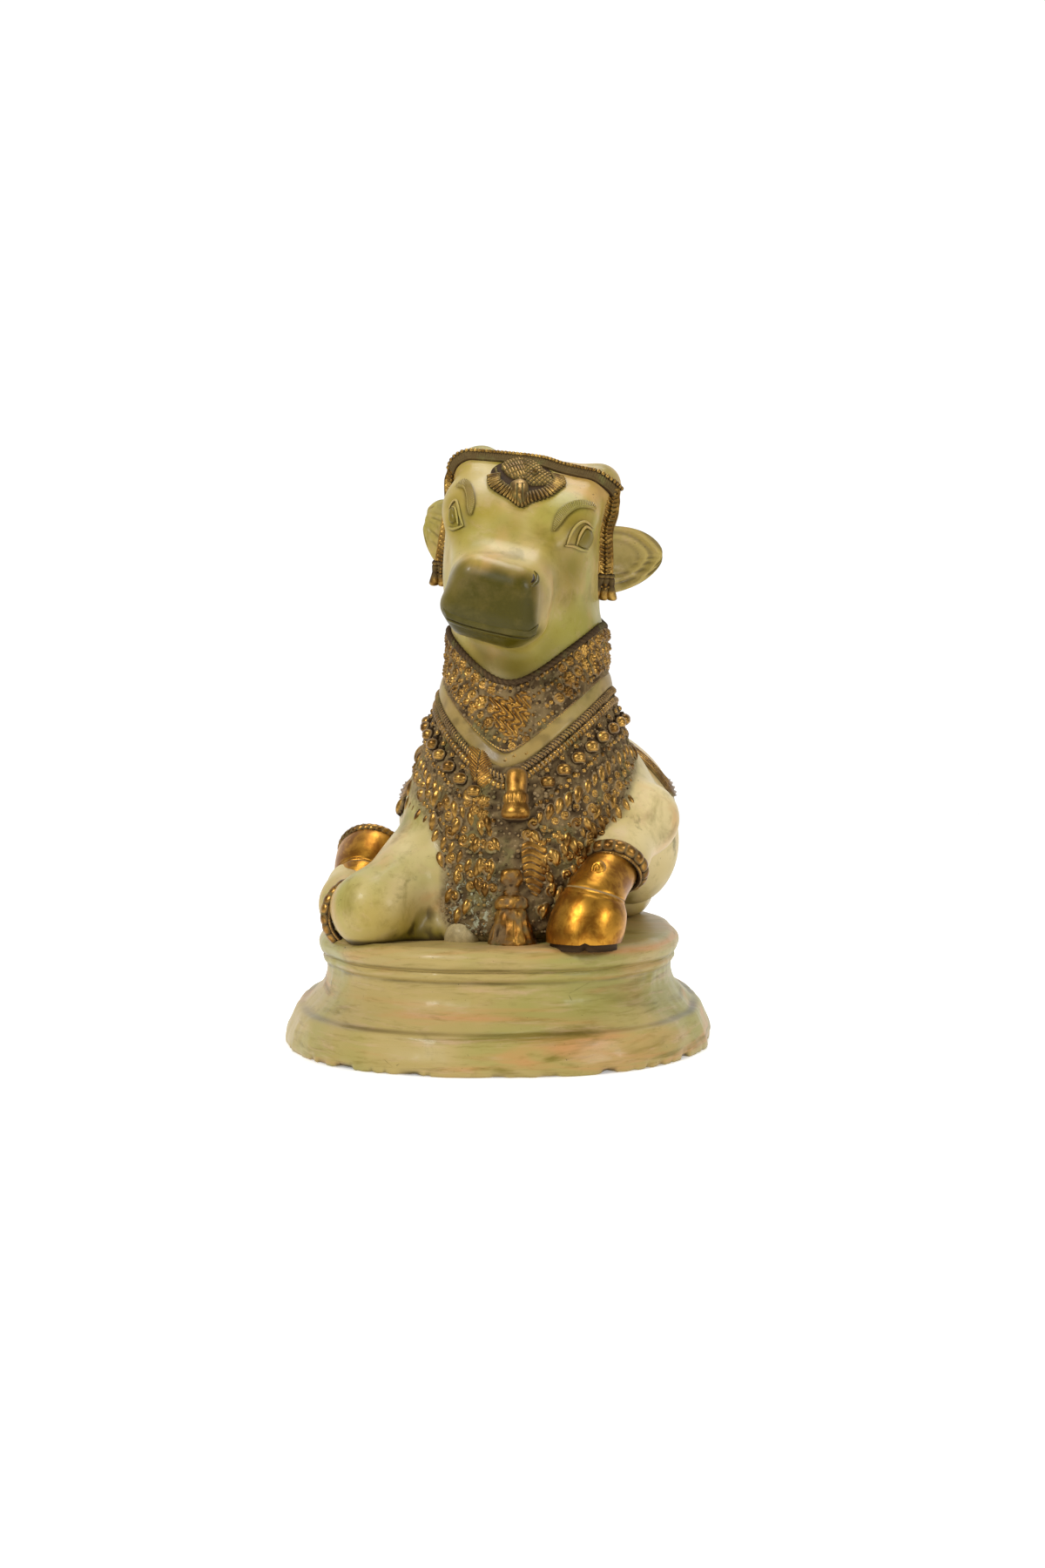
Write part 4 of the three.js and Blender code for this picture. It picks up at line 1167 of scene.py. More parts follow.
# rows of hangings: the strand, its turns, the pitch, the kind, how far it stands out and how far it leans
hangings = [
    ("string", (-104, 104), 4.6, ballForm(2.1, 9, 6), 0.9, 0.0),
    ("drops", (-100, 100), 8.6, leafForm(13, 7.5, 3.4), 0.2, 0.25),
    ("curls", (-88, 88), 9.4, curlBoss(4.8, 3.6), 0.2, 0.0),
    ("lowString", (-80, 80), 4.6, ballForm(2.0, 9, 6), 0.8, 0.0),
    ("lowDrops", (-74, 74), 9.0, leafForm(14, 8, 3.8), 0.2, -0.3),
    ("lowCurls", (-50, 46), 10.0, curlBoss(4.8, 3.6, 1.2), 0.2, 0.0),
]


bells = {
    "pitch": 14.8, "turns": (-112, 112), "size": 11.5, "lift": 2.6, "cap": 2.3, "capLift": 2.2, "capUp": 6.4,
}
# the gap for the pendant and tassel in the bells and in the other rows: its middle and half its width
frontGap = {"bells": (10, 14), "rows": (12, 13)}


def beside(line, kind):
    middle, half = frontGap[kind]
    return np.abs(line.points[:, 0] - middle) > half


def addHangings():
    forms = []
    line = neckLine(neck["bells"], bells["pitch"], bells["turns"])
    fall = frameOn(line.points, body)
    keep = beside(line, "bells") & onTrunk(line, 6)
    caps = line.points + line.out * bells["capLift"] - fall[1] * bells["capUp"]
    for kind, points in (
        (bellForm(bells["size"]), line.points + line.out * bells["lift"]),
        (ballForm(bells["cap"], 9, 6), caps),
    ):
        forms.append(kind.placed(points[keep], *(f[keep] for f in fall)))
    for name, turns, pitch, kind, lift, lean in hangings:
        line = neckLine(neck[name], pitch, turns)
        keep = beside(line, "rows") & onTrunk(line, 2.0)
        across, along, out = frameOn(line.points, body)
        along = unitOf(along + across * lean * np.sign(line.points[:, :1] - frontGap["rows"][0]))
        across = np.cross(along, out)
        sizes = drawnSizes(len(line.s))
        wander = draw.uniform(-1.3, 1.3, (2, len(line.s), 1))
        point = line.points + out * lift + along * wander[0] + across * wander[1] * 0.8
        forms.append(kind.placed(point[keep], across[keep], along[keep], out[keep], sizes[keep]))
    addPiece("bells_and_drops", joined(forms), wornBrass)


# Head wear: the beaded band with its two straps, and the medallion on the forehead

headWear = {
    "band": [(-63, -9, -12), (-58, -8, -4), (-40, -5, 0), (3, -3, 0), (23, -8, 0), (42, -11, 0),
             (59, -11, -5), (63, -7, -13)],
    "strap": [(63, -8, -10), (63.5, -22, -30), (64.5, -34, -52), (65, -43, -74), (65, -45, -86)],
    "strapShift": (-1.0, 5.5), "strapEnds": {-1: -86, 1: -79},
    "lobe": [(0.02, -12), (3.0, -11.6), (3.6, -10), (2.6, -8.6), (3.3, -7.4), (3.1, -5), (2.8, -2), (3.6, 2),
             (4.6, 6), (4.9, 8.4), (4.0, 9.6), (0.02, 10)],
    "lobeGap": 6.0,
}


def facing(line, toward, share):
    # turns a line's frame part of the way towards a direction
    out = unitOf(line.out * (1 - share) + unitOf(vec(*toward)) * share)
    line.out = unitOf(out - line.along * (out * line.along).sum(1, keepdims=True))
    line.across = np.cross(line.along, line.out)
    return line


def beadedEdge(u, s):
    beads = 0.8 * np.abs(np.sin(np.pi * s / 1.7)) * ridge(np.abs(u), 0.3, 0.2)
    return 2.6 + ridge(np.abs(u), 0.10, 0.84) + beads - 1.9 * rise(0.93, 1.0, np.abs(u))


def zigzag(u, s):
    ridges = 1.3 * np.abs(((s / 3.6 + 0.8 * np.abs(u)) % 1) - 0.5) * 2 * (np.abs(u) < 0.7)
    return 3.0 + ridges + 1.2 * ridge(np.abs(u), 0.08, 0.86) - 2.0 * rise(0.93, 1.0, np.abs(u))


def strapLine(corners, step, side):
    # a line down one cheek, pushed outwards and forwards, more so towards its end
    line = facing(headLine(corners, step), (side * 0.1, -1, 0.1), 0.85)
    push = blend(*headWear["strapShift"], line.s / line.length)
    line.points = line.points + vec(side, -1.0, 0) * push[:, None]
    return line


def addHeadWear():
    h, bandWay = headWear, (0, -1, 0.25)
    lower = [(x * 0.97, y - 3.6, z) for x, y, z in h["band"]]
    forms = [ribbon(facing(headLine(lower, 0.42), bandWay, 0.5), 10, beadedEdge, 24, 4.0)]
    forms[0].raised = forms[0].raised * 0.55 + 0.12
    forms.append(facing(headLine(h["band"], 2.9), bandWay, 0.5).set(ballForm(1.9, 9, 7), 3.7))
    lobe = turnedForm(h["lobe"], 16)
    for side in (-1, 1):
        corners = [(side * x, y, z) for x, y, z in h["strap"]]
        corners[-1] = (*corners[-1][:2], h["strapEnds"][side])
        strap = strapLine(corners, 0.6, side)
        forms.append(ribbon(strap, 13 * (0.55 + 0.45 * rise(0, 12, strap.s)), zigzag, 26, 5.0))
        forms[-1].raised = np.maximum(forms[-1].raised, 0.34)
        forms.append(strapLine(corners, 2.9, side).set(ballForm(1.45, 9, 7), 4.2))
        end = strapLine(corners[-3:], 1.0, side)
        across, along, out = end.across[-1:], end.along[-1:], end.out[-1:]
        for shift in (-h["lobeGap"], 0, h["lobeGap"]):
            spread = unitOf(along + across * shift * 0.03)
            at = end.points[-1:] + across * shift * 0.9 + out * 2.0
            forms.append(lobe.placed(at, across, spread, out, 0.95))
    addPiece("headband", joined(forms), strapBrass)


medallionPixels = {
    "ground": [(561.4, 549.4), (563.2, 560), (572.5, 567), (583.6, 573), (598, 583), (609.5, 578),
               (620.6, 575), (631.7, 571), (640.9, 564), (647.4, 558), (645, 550), (634, 541), (620, 533),
               (606, 528.5), (590, 528), (574, 531.5), (563.5, 539)],
    "leaf": [(575.2, 539.8), (578, 534.5), (587.3, 530.3), (598.4, 527.5), (602.5, 534), (604.5, 545),
             (603, 553.5), (591, 552.7), (582.6, 548.5)],
    "fruit": [(599.4, 529), (613.2, 532.7), (626.1, 543.8), (636, 549), (641.3, 556.5), (633, 559.5),
              (620, 559.9), (609.5, 559.9), (602.4, 554.6), (600.5, 542)],
    "bud": [(584.5, 560.5), (589.1, 555.9), (598.4, 553.5), (606.1, 558.6), (607.6, 567.9), (605.8, 577.1),
            (599.8, 583.5), (592.8, 579), (587.3, 573.4)],
    "cord": [(569, 541), (572, 552), (580, 560), (590, 564)], "middle": (603, 548), "eye": (614, 550),
}
fringeLobe = [(0.02, -2.0), (1.0, -1.4), (1.3, 0.3), (1.15, 4.5), (0.9, 8.5), (0.02, 9.0)]


def leafLines(x, y):
    return scored(1.25 * (x + 0.3 * y)) + scored(0.45 * (y - 0.5 * x), 0.16)


def fruitLines(x, y):
    return scored(0.75 * (x + 0.9 * y), 0.42) + scored(0.75 * (x - 0.9 * y), 0.42)


def budLines(x, y):
    return ridge(np.abs(x), 0.5, 2.1) * (y > -3)


def addMedallion():
    m = medallionPixels
    outline = photoLine(m["ground"], 0.7, True)
    forms = [pad(outline, figure, lambda r, *_: 1.3 * dome(r, 1.02, 4), 14)]
    # the ground between the forms is coloured as a deep recess: dark brown, partly painted shade
    forms[0].raised[:] = 0.05
    fringe = photoLine(m["ground"][:11], 3.0)
    inward = unitOf(seen([m["middle"]]) - fringe.points)
    along = unitOf(inward - fringe.out * (inward * fringe.out).sum(1, keepdims=True))
    along = unitOf(along + 0.28 * fringe.out)
    lobe = turnedForm(fringeLobe, 10)
    point = fringe.points + fringe.out * 1.9
    across = unitOf(np.cross(along, fringe.out))
    forms.append(lobe.placed(point, across, along, np.cross(across, along)))
    forms.append(swept(photoLine(m["cord"], 0.6), 1.1, 2.4, 10, twist(2.0, 2, 0.2)))
    for name, step, height, rows, cut in (
        ("leaf", 0.52, lambda r, *_: 4.6 - 1.8 * r**2, 22, leafLines),
        ("fruit", 0.48, lambda r, *_: 5.0 - 2.0 * r**2.5, 26, fruitLines),
        ("bud", 0.52, lambda r, *_: 7.5 * dome(r, 1.03), 18, budLines),
    ):
        forms.append(pad(photoLine(m[name], step, True), figure, height, rows, cut))
    eye = bossForm(2.1, 2.2, lambda r, turn: 1 - 0.9 * ridge(r, 0.2, 0.5), 8, 18)
    spot = seen([m["eye"]])
    forms.append(eye.placed(spot + normalsOf(figure, spot) * 5.0, *frameOn(spot, figure)))
    addPiece("medallion", joined(forms), medalBrass)


# The face, in the photograph's pixels: eyes under doubled lids, hatched brows, a nostril and the mouth

facePixels = {
    "eyes": [
        [(662, 624), (666, 616), (672, 607.5), (679, 611.5), (680, 619), (675, 630), (667, 629)],
        [(517, 588), (520, 582.7), (523.5, 588), (524.4, 597.5), (521, 601.5), (517.5, 599)],
    ],
    "lids": [
        [(650, 626), (655.7, 612), (663, 603), (671.4, 600), (679.7, 606.7)],
        [(661, 626), (665.5, 613.5), (672, 605.5), (679.5, 610)],
        [(648, 627), (657.5, 627.5), (666.8, 631), (674, 632.6)],
        [(517, 585), (520, 578.5), (524.4, 576), (527, 584.5), (529, 593.8), (532.7, 605)],
        [(520, 583), (523.5, 585), (525.5, 594), (527, 603)],
        [(516.5, 606), (522.5, 608), (532, 605)],
    ],
    "brows": [
        ([(634.4, 610.4), (637, 597.5), (642.7, 586.4), (652, 579), (665, 575.3), (679.7, 578),
          (683.4, 584.5)],
         [(637, 609.5), (644.6, 601), (652, 592), (663, 584.5), (674, 583.6), (680, 585), (682.5, 586.4)]),
        ([(524, 558.6), (533.6, 551), (542, 558.6), (545.7, 575), (543, 588), (540.5, 592)],
         [(526, 559.5), (532.6, 562), (535.5, 571), (536, 582), (537.5, 588), (539.5, 592)]),
    ],
    "nostril": [(611.5, 657), (613.2, 663), (612, 667), (607.6, 670.5)],
    "nostrilRim": [(613, 656), (616.5, 661), (616.5, 667.5), (613, 672), (608.5, 674)],
    "mouth": [(510.5, 706), (517, 710), (535.5, 717), (558, 723), (576, 727), (591, 730), (606, 731),
              (616, 725)],
}
face = {
    "eyeHeight": 2.7, "lidRadius": 1.05, "lidLift": 1.1, "browSteps": 150, "hair": 1.1, "hairPitch": 1.7,
    "browRim": 1.5, "mouthWidth": 11, "mouthColumns": 35, "lipHeight": 1.5, "seamDepth": 1.35,
    "rimRadius": 1.5, "slitRadius": 1.35, "slitDepth": 0.75,
}


def taper(line, end, power):
    # a swelling from both ends of a line, no thinner there than at the given share of its length
    return np.sin(np.pi * np.clip(line.s / line.length, end, 1 - end)) ** power


def hairs(u, s):
    lock = 0.5 + 0.5 * np.cos(2 * np.pi * (s / face["hairPitch"] + 1.1 * u))
    hair = face["hair"] * lock * rise(0.0, 0.12, u) * rise(1.0, 0.8, u)
    return 1.1 + hair + face["browRim"] * ridge(u, 0.05, 0.93)


def addFace():
    forms = []
    for outline in facePixels["eyes"]:
        line = photoLine(outline, 0.6, True)
        forms.append(pad(line, figure, lambda r, *_: face["eyeHeight"] * dome(r), 12))
    eyeCount = sum(len(form.points) for form in forms)
    for corners in facePixels["lids"]:
        line = photoLine(corners, 0.5)
        radius = face["lidRadius"] * (0.25 + 0.75 * taper(line, 0.02, 0.5))
        forms.append(swept(line, radius, face["lidLift"], 10))
    for pair in facePixels["brows"]:
        edges = [photoLine(corners, 0.4) for corners in pair]
        edges = [Line(edge.points, figure, edge.length / (face["browSteps"] - 1)) for edge in edges]
        count = min(len(edge.points) for edge in edges)
        for edge in edges:
            edge.points, edge.s = edge.points[:count], edge.s[:count]
        forms.append(strip(*edges, figure, hairs, 18))
    form = joined(forms)
    # darker in the low parts of the lids and brows: partly dark patina in the carving, partly painted shade
    groove = rise(0.75, 0.2, form.raised) * 0.65
    groove[:eyeCount] = 0.12
    shaded = np.full(len(groove), 0.15)
    shaded[:eyeCount] = 0.9
    form.raised[:] = 0
    addPiece("eyes_and_brows", form, skinPatina, groove=groove, ochre=0.7, shaded=shaded)


def addMouth():
    line = photoLine(facePixels["mouth"], 0.5)
    share = line.s / line.length
    fade = (rise(0, 0.06, share) * rise(1, 0.94, share))[:, None]

    def lips(u, s):
        lip = face["lipHeight"] * rise(1.0, 0.25, np.abs(u)) - face["seamDepth"] * ridge(u, 0.10)
        return lip * fade - 0.5 * rise(0.7, 1.0, np.abs(u)) + 0.02

    columns = face["mouthColumns"]
    forms = [ribbon(line, face["mouthWidth"], lips, columns, 1.0)]
    # the mouth's seam and the nostril's slit are coloured dark: painted shade in these openings
    seam = ridge(np.linspace(-1, 1, columns), 0.09)
    grooves = [(np.append(seam, [0, 0]) * fade).ravel() * 0.9]
    rim, slit = (photoLine(facePixels[name], 0.4) for name in ("nostrilRim", "nostril"))
    forms.append(swept(rim, face["rimRadius"] * taper(rim, 0.03, 0.6), 0.3, 12))
    forms.append(swept(slit, face["slitRadius"] * taper(slit, 0.03, 0.6), -face["slitDepth"], 10))
    grooves += [np.full(len(form.points), dark) for form, dark in zip(forms[1:], (0.0, 1.0))]
    form = joined(forms)
    form.raised[:] = 0
    groove = np.concatenate(grooves)
    # the mouth takes the muzzle's dark olive, partly painted shade, but not in the nostril's slit
    muzzle = np.where(groove > 0.99, 0, 0.95) * rise(-4, -16, inHead(form.points, muzzleAxes)[:, 1])
    addPiece("mouth_and_nostril", form, skinPatina, groove=groove, muzzle=muzzle, ochre=0.9)


# The dusty, worn ground of the carving on the neck

ground = {
    "columns": 300, "rows": 104, "folds": [(8.5, 31, 0.55), (4.3, 32, 0.35), (2.3, 33, 0.22)],
    "tries": 14000, "grainCell": 4.2, "bandClear": 8,
}


def addNeckGround():
    columns, rows = ground["columns"], ground["rows"]
    turns = np.linspace(*wholeTurn, columns, endpoint=False)
    angle = np.radians(turns)
    high, low = hangAt(angle, neck["chinRope"]) - 1, np.interp(turns, *groundLow)
    share = np.linspace(0, 1, rows)[:, None]
    points = neckPoints(np.tile(angle, rows), blend(high[None], low[None], share).ravel())
    bent = points + 2.2 * np.stack([noise(points, 7, seed) for seed in (21, 22, 23)], 1)
    ridges = sum((1 - 2.2 * np.abs(noise(bent, size, seed))) * part for size, seed, part in ground["folds"])
    fade = rise(1.0, 0.93, share + 0.035 * noise(points, 10, 41).reshape(rows, -1)).ravel()
    lift = (0.9 + 1.25 * ridges) * fade - 1.6 * (1 - fade)
    faces = gridFaces(rows, columns, closed=True)[:, ::-1]
    form = Form(points + normalsOf(trunk, points) * lift[:, None], [faces], rise(-0.1, 0.9, ridges) * 0.5)
    crust = rise(62, 40, form.points[:, 2] + 8 * noise(points, 14, 43)) * rise(6, -10, form.points[:, 0])
    addPiece("neck_ground", form, groundBrass, crust=0.9 * crust)
    addNeckGrains(points, fade)


def addNeckGrains(points, fade):
    # small worn lumps on the ground, one for each cell of a grid that a drawn point falls in
    picks = draw.permutation(len(points))
    cells = {}
    for spot in points[picks[fade[picks] > 0.9][:ground["tries"]]]:
        cells.setdefault(tuple(np.round(spot / ground["grainCell"]).astype(int)), spot)
    spots = np.array(list(cells.values()))
    clear = np.abs(spots[:, 2] - hangAt(turnOf(spots), neck["plainBand"])) > ground["bandClear"]
    spots = spots[clear]
    grain = bossForm(2.1, 2.3, lambda r, turn: dome(r) * (1 + 0.1 * np.cos(2 * turn)), 3, 7)
    sizes = draw.uniform(0.4, 0.95, len(spots))
    form = grain.placed(spots + normalsOf(trunk, spots) * 0.6, *frameOn(spots, trunk), sizes)
    form.raised = form.raised * np.repeat(draw.uniform(0.15, 0.6, len(spots)), len(grain.points))
    addPiece("neck_grains", form, wornBrass)


# Ears, each a cupped leaf with a rolled rim

ear = {
    "length": 62, "width": 50, "depth": 11, "thick": 1.7, "root": (52, -36, -62),
    "sweep": 0.75, "droop": -0.2, "pitch": 8, "rows": 56, "columns": 40,
}


def turnedPoints(points, angle, first, second):
    # points turned by an angle from one axis towards another
    turn = np.eye(3)
    turn[first, first] = turn[second, second] = math.cos(angle)
    turn[second, first] = math.sin(angle)
    turn[first, second] = -math.sin(angle)
    return points @ turn.T


def earShape(side):
    rows, columns = ear["rows"], ear["columns"]
    t = np.linspace(0, 1, rows)[:, None]
    v = np.sin(np.linspace(-1, 1, columns) * np.pi / 2)[None]
    taper = (1.02 - t**2.6) ** 0.58 if side > 0 else np.sqrt(1.02 - t**3)
    half = ear["width"] / 2 * np.minimum(1.04, 0.6 + 1.6 * t) * taper
    depth = ear["depth"] * np.sin(np.pi * (0.2 + 0.8 * t))
    middle = depth * (1 - v * v) * 0.78
    edge = np.sqrt(np.clip(1 - np.maximum(np.abs(v), t**1.5) ** 10, 0, 1))
    r = np.sqrt(v**2 + ((t - 0.35) / 0.62) ** 2)
    # the left ear has two rims round its hollow, and ridges across one side; the right one is ribbed
    if side > 0:
        front = 1.8 * ridge(r, 0.09, 0.97) + 1.2 * ridge(r, 0.07, 0.66) - 0.8 * rise(0.6, 0.0, r)
        front = front + 0.45 * np.cos(26 * v + 7 * t) * rise(0.2, 0.7, -v + t * 0.5)
    else:
        ribs = np.abs(np.cos(9 * v * 1.3 + 1.6 * t + 0.6 * np.sin(6 * t)))
        front = 1.4 * ridge(r, 0.08, 0.98) + 0.75 * ribs
    z, x = half * v * np.ones_like(t), ear["length"] * t * np.ones_like(v)
    # darker in the low parts between the rims and ribs: partly dark patina in the carving, partly painted
    # shade
    groove = rise(0.55, -0.15, front) * (1 - 0.75 * rise(0.62, 0.45, r) * (side > 0))
    front = np.stack([x, middle - (ear["thick"] + front) * edge, z], -1)
    back = np.stack([x, middle + ear["thick"] * edge, z], -1)
    points = np.concatenate([front, back[:, ::-1]], 1).reshape(-1, 3) * vec(side, 1, side)
    points = turnedPoints(points, side * ear["droop"], 2, 0)
    points = turnedPoints(points, side * ear["sweep"], 0, 1)
    axes = axesAt(onHead((side * ear["root"][0], *ear["root"][1:])), ear["pitch"])
    groove = np.concatenate([groove, 0 * z], 1) * 0.6
    return Form(onHead(points, axes), [gridFaces(rows, 2 * columns, closed=True)]), groove.ravel()


def addEars():
    for side in (-1, 1):
        form, groove = earShape(side)
        addPiece("left_ear" if side > 0 else "right_ear", form, skinPatina, groove=groove, ochre=0.7)


# Feet: a ribbed ring, a hoof with its coronet line and cleft

# each station of a foot: its middle, the way it faces and its radius as a share of the hoof's
feet = {
    "raised": [
        ((92, -124, 60), (-0.35, -0.75, -0.55), 0.66), ((83, -140, 52), (-0.35, -0.75, -0.55), 0.70),
        ((74, -158, 42), (-0.35, -0.6, -0.72), 0.74), ((68, -172, 34), (-0.24, -0.15, -0.96), 0.81),
        ((65, -176, 24), (-0.15, -0.05, -0.99), 0.95), ((61.5, -178, 11), (-0.05, 0, -1), 1.02),
        ((60, -179, 1.5), (0, 0, -1), 0.97),
    ],
    "folded": [
        ((-103, -112, 18), (-0.2, 0.9, 0.3), 0.62), ((-106, -98, 25), (0, 0.85, 0.5), 0.66),
        ((-104, -84, 33), (0.1, 0.8, 0.55), 0.74), ((-102, -76, 37), (0.15, 0.83, 0.55), 0.81),
        ((-100, -66, 43), (0.15, 0.83, 0.55), 0.94), ((-98, -53, 51), (0.15, 0.83, 0.55), 1.01),
        ((-97, -46, 56), (0.15, 0.83, 0.55), 0.97),
    ],
    "fetlock": [(92, -124, 60, 17.5), (83, -140, 52, 18.6), (74, -158, 42, 19.6)],
    "hoofRadius": 26.5, "soleShare": 0.9, "soleOut": 5.0, "spur": (687, 999),
    # the cleft's width in radians, its depth as a share of the radius, and how far it cuts upwards
    "cleft": (0.13, 0.11, 2.6),
    # the coronet's two grooves: the share of their depth, their width and place in stations
    "coronet": [(1.0, 0.06, 2.9), (0.6, 0.055, 3.12)], "coronetDepth": 0.8,
    # the anklets: their middle, the way they face, the radius and the number of lobes
    "anklets": [((83, -140, 52), (-0.24, -0.69, -0.68), 20, 9), ((-101, -118, 16), (-0.38, 0.92, 0), 23, 11)],
}


def ringForm(radius, thick, count, sides, wave):
    # a ring about y; wave gives the share of its thickness at each turn round it and round its section
    turn = 2 * np.pi * np.arange(count)[:, None] / count
    small = 2 * np.pi * np.arange(sides)[None] / sides
    share = wave(turn, small) * np.ones((count, sides))
    r = radius + thick * share * np.cos(small)
    points = np.stack([r * np.cos(turn), thick * share * np.sin(small) * 1.2, r * np.sin(turn)], -1)
    raised = rise(-0.3, 0.8, np.cos(small)) * rise(0.72, 1.0, share)
    faces = gridFaces(count + 1, sides, closed=True)
    return Form(closedUp(points).reshape(-1, 3), [faces], closedUp(raised).ravel())


def scalloped(count, deep, power=1.0, swirl=0.0):
    # the share of a ring's thickness where lobes are cut into it, slanting by the swirl
    return lambda turn, small: 1 - deep + deep * np.abs(np.sin(count * turn + swirl * np.sin(small))) ** power


def axesAlong(way, toe):
    down = unitOf(vec(*way))
    front = unitOf(vec(*toe) - down * (down @ vec(*toe)))
    return np.cross(down, front), down, front


def footForm(stations, toe, soleGap, sides=96, count=96):
    rows = np.array([[*middle, *way, share] for middle, way, share in stations])
    rows = curve(rows, count)
    at = np.linspace(0, len(stations) - 1, count)
    down = unitOf(rows[:, 3:6])
    toe = vec(*toe)
    front = unitOf(toe - down * (down @ toe)[:, None])
    side = np.cross(down, front)
    turn = 2 * np.pi * np.arange(sides)[None] / sides
    cleftWidth, cleftDeep, cleftUp = feet["cleft"]
    notch = ridge((turn + np.pi) % (2 * np.pi) - np.pi, cleftWidth)
    low = rise(len(stations) - 2.4, len(stations) - 1, at)[:, None]
    line = sum(part * ridge(at, width, place) for part, width, place in feet["coronet"])[:, None]
    radius = feet["hoofRadius"] * rows[:, 6:] * (1 + 0.02 * low * np.cos(turn) - cleftDeep * notch * low)
    radius = radius - feet["coronetDepth"] * line
    outward = front[:, None] * np.cos(turn)[:, :, None] + side[:, None] * np.sin(turn)[:, :, None]
    points = rows[:, None, :3] + radius[:, :, None] * outward
    points = points - down[:, None] * (cleftUp * notch * low**3)[:, :, None]
    points = points - vec(0, 0, 1) * np.minimum(points[:, :, 2:] - soleGap, 0)
    sole = points[-1].mean(0)
    inner = sole + (points[-1] - sole) * feet["soleShare"]
    outwards = down[-1] * feet["soleOut"]
    points = np.concatenate([points.reshape(-1, 3), inner, inner + outwards, (sole + outwards)[None]])
    raised = np.clip(0.95 - 1.2 * line * np.ones((count, sides)), -0.3, 1).ravel()
    # the sole's inner pad takes the lowest value and so the darkest brown: a painted shadow gap under the
    # standing hoof
    raised = np.concatenate([raised, np.full(2 * sides + 1, -1.0)])
    last = (count + 1) * sides
    faces = [gridFaces(count + 2, sides, closed=True)[:, ::-1], fanFaces(sides, last + sides, last)]
    return Form(points, faces, raised)


def addFeet():
    toes = {"raised": (0, -1, 0), "folded": (0, 0, -1)}
    hooves = [footForm(feet["raised"], toes["raised"], 2.8), footForm(feet["folded"], toes["folded"], -9)]
    fetlock = softly(4, [limb(*feet["fetlock"][:2]), limb(*feet["fetlock"][1:])])
    spur = seen([feet["spur"]], fetlock)
    spiral = curlBoss(8.0, 4.5, 1.4)
    spiral.points[:, 0] *= 0.72
    hooves.append(spiral.placed(spur + normalsOf(fetlock, spur) * 0.4, *frameOn(spur, fetlock)))
    last, way, _ = feet["folded"][-1]
    soleRim = ringForm(feet["hoofRadius"] * 0.95, 2.9, 220, 12, scalloped(17, 0.18, swirl=1.2))
    bands = [soleRim.placed(vec(*last), *axesAlong(way, toes["folded"]))]
    for middle, way, radius, lobes in feet["anklets"]:
        axes = axesAlong(way, (0, -1, 0.2))
        ring = ringForm(radius + 1.2, 4.4, 200, 13, scalloped(lobes, 0.24, 0.5))
        bands.append(ring.placed(vec(*middle), *axes))
        edge = ringForm(radius + 0.2, 1.5, 210, 8, scalloped(34, 0.15))
        bands += [edge.placed(vec(*middle) + axes[1] * shift, *axes) for shift in (-5.6, 5.6)]
    addPiece("hooves", joined(hooves), polishedBrass)
    addPiece("anklets", joined(bands), ankletBrass)


# The saddle cloth's border, and the tail laid round the rump

saddle = {
    "axis": (28, 60), "turn": 68, "middle": 57, "halfLength": 55, "corner": 0.4, "steps": 240,
    "border": 14, "grooves": 3.5, "stitch": 4,
}
# the tail: where its rays start, how far round and down they go, and its radius
tail = {"axis": (31, 110), "turns": (8, 80), "heights": (96, 20), "drop": 0.15, "steps": 60, "radius": 6}


def borderRelief(u, s):
    stitches = np.cos(2 * np.pi * s / saddle["stitch"]) * (np.abs(u) < 0.3)
    return 2.4 + 0.9 * np.cos(saddle["grooves"] * np.pi * u) + 0.3 * stitches


def addSaddle():
    run = np.linspace(0, 2 * np.pi, saddle["steps"], endpoint=False)
    over, length = (np.sign(v) * np.abs(v) ** saddle["corner"] for v in (np.cos(run), np.sin(run)))
    angle = np.radians(saddle["turn"] * over)
    x, z = (np.full_like(run, v) for v in saddle["axis"])
    start = np.stack([x, saddle["middle"] - saddle["halfLength"] * length, z], 1)
    path = castOut(trunk, start, np.stack([np.sin(angle), 0 * angle, np.cos(angle)], 1))
    border = Line(settled(body, path), body, 1.7, True)
    addPiece("saddle_border", ribbon(border, saddle["border"], borderRelief, 22), clothBrass)


def addTail():
    share = np.linspace(0, 1, tail["steps"])
    turn = np.radians(blend(*tail["turns"], share))
    x, y = (np.full_like(share, v) for v in tail["axis"])
    start = np.stack([x, y, blend(*tail["heights"], share)], 1)
    ways = np.stack([np.sin(turn), np.cos(turn), np.full_like(share, tail["drop"])], 1)
    line = Line(castOut(body, start, ways), body, 1.0)
    share = line.s / line.length
    radius = tail["radius"] * (0.5 + 0.42 * rise(0.62, 0.8, share)) * (1 - 0.6 * rise(0.93, 1.0, share))

    def tuft(s, turn):
        return 1 - 0.12 * rise(0.66, 0.8, s / line.length) * (1 - np.cos(7 * turn + s * 0.25))

    form = swept(line, radius, 1.6, 28, tuft)
    form.raised[:] = 0
    addPiece("tail", form, skinPatina, ochre=0.3)


# The middle pendant and the tassel under it

def hungForm(profile, point, field, lift, sides=72, wave=None, lean=(0, 0, -1)):
    across, along, out = frameOn(point, field, lean)
    return turnedForm(profile, sides, 0.85, wave).placed(point + out * lift, across, along, out)


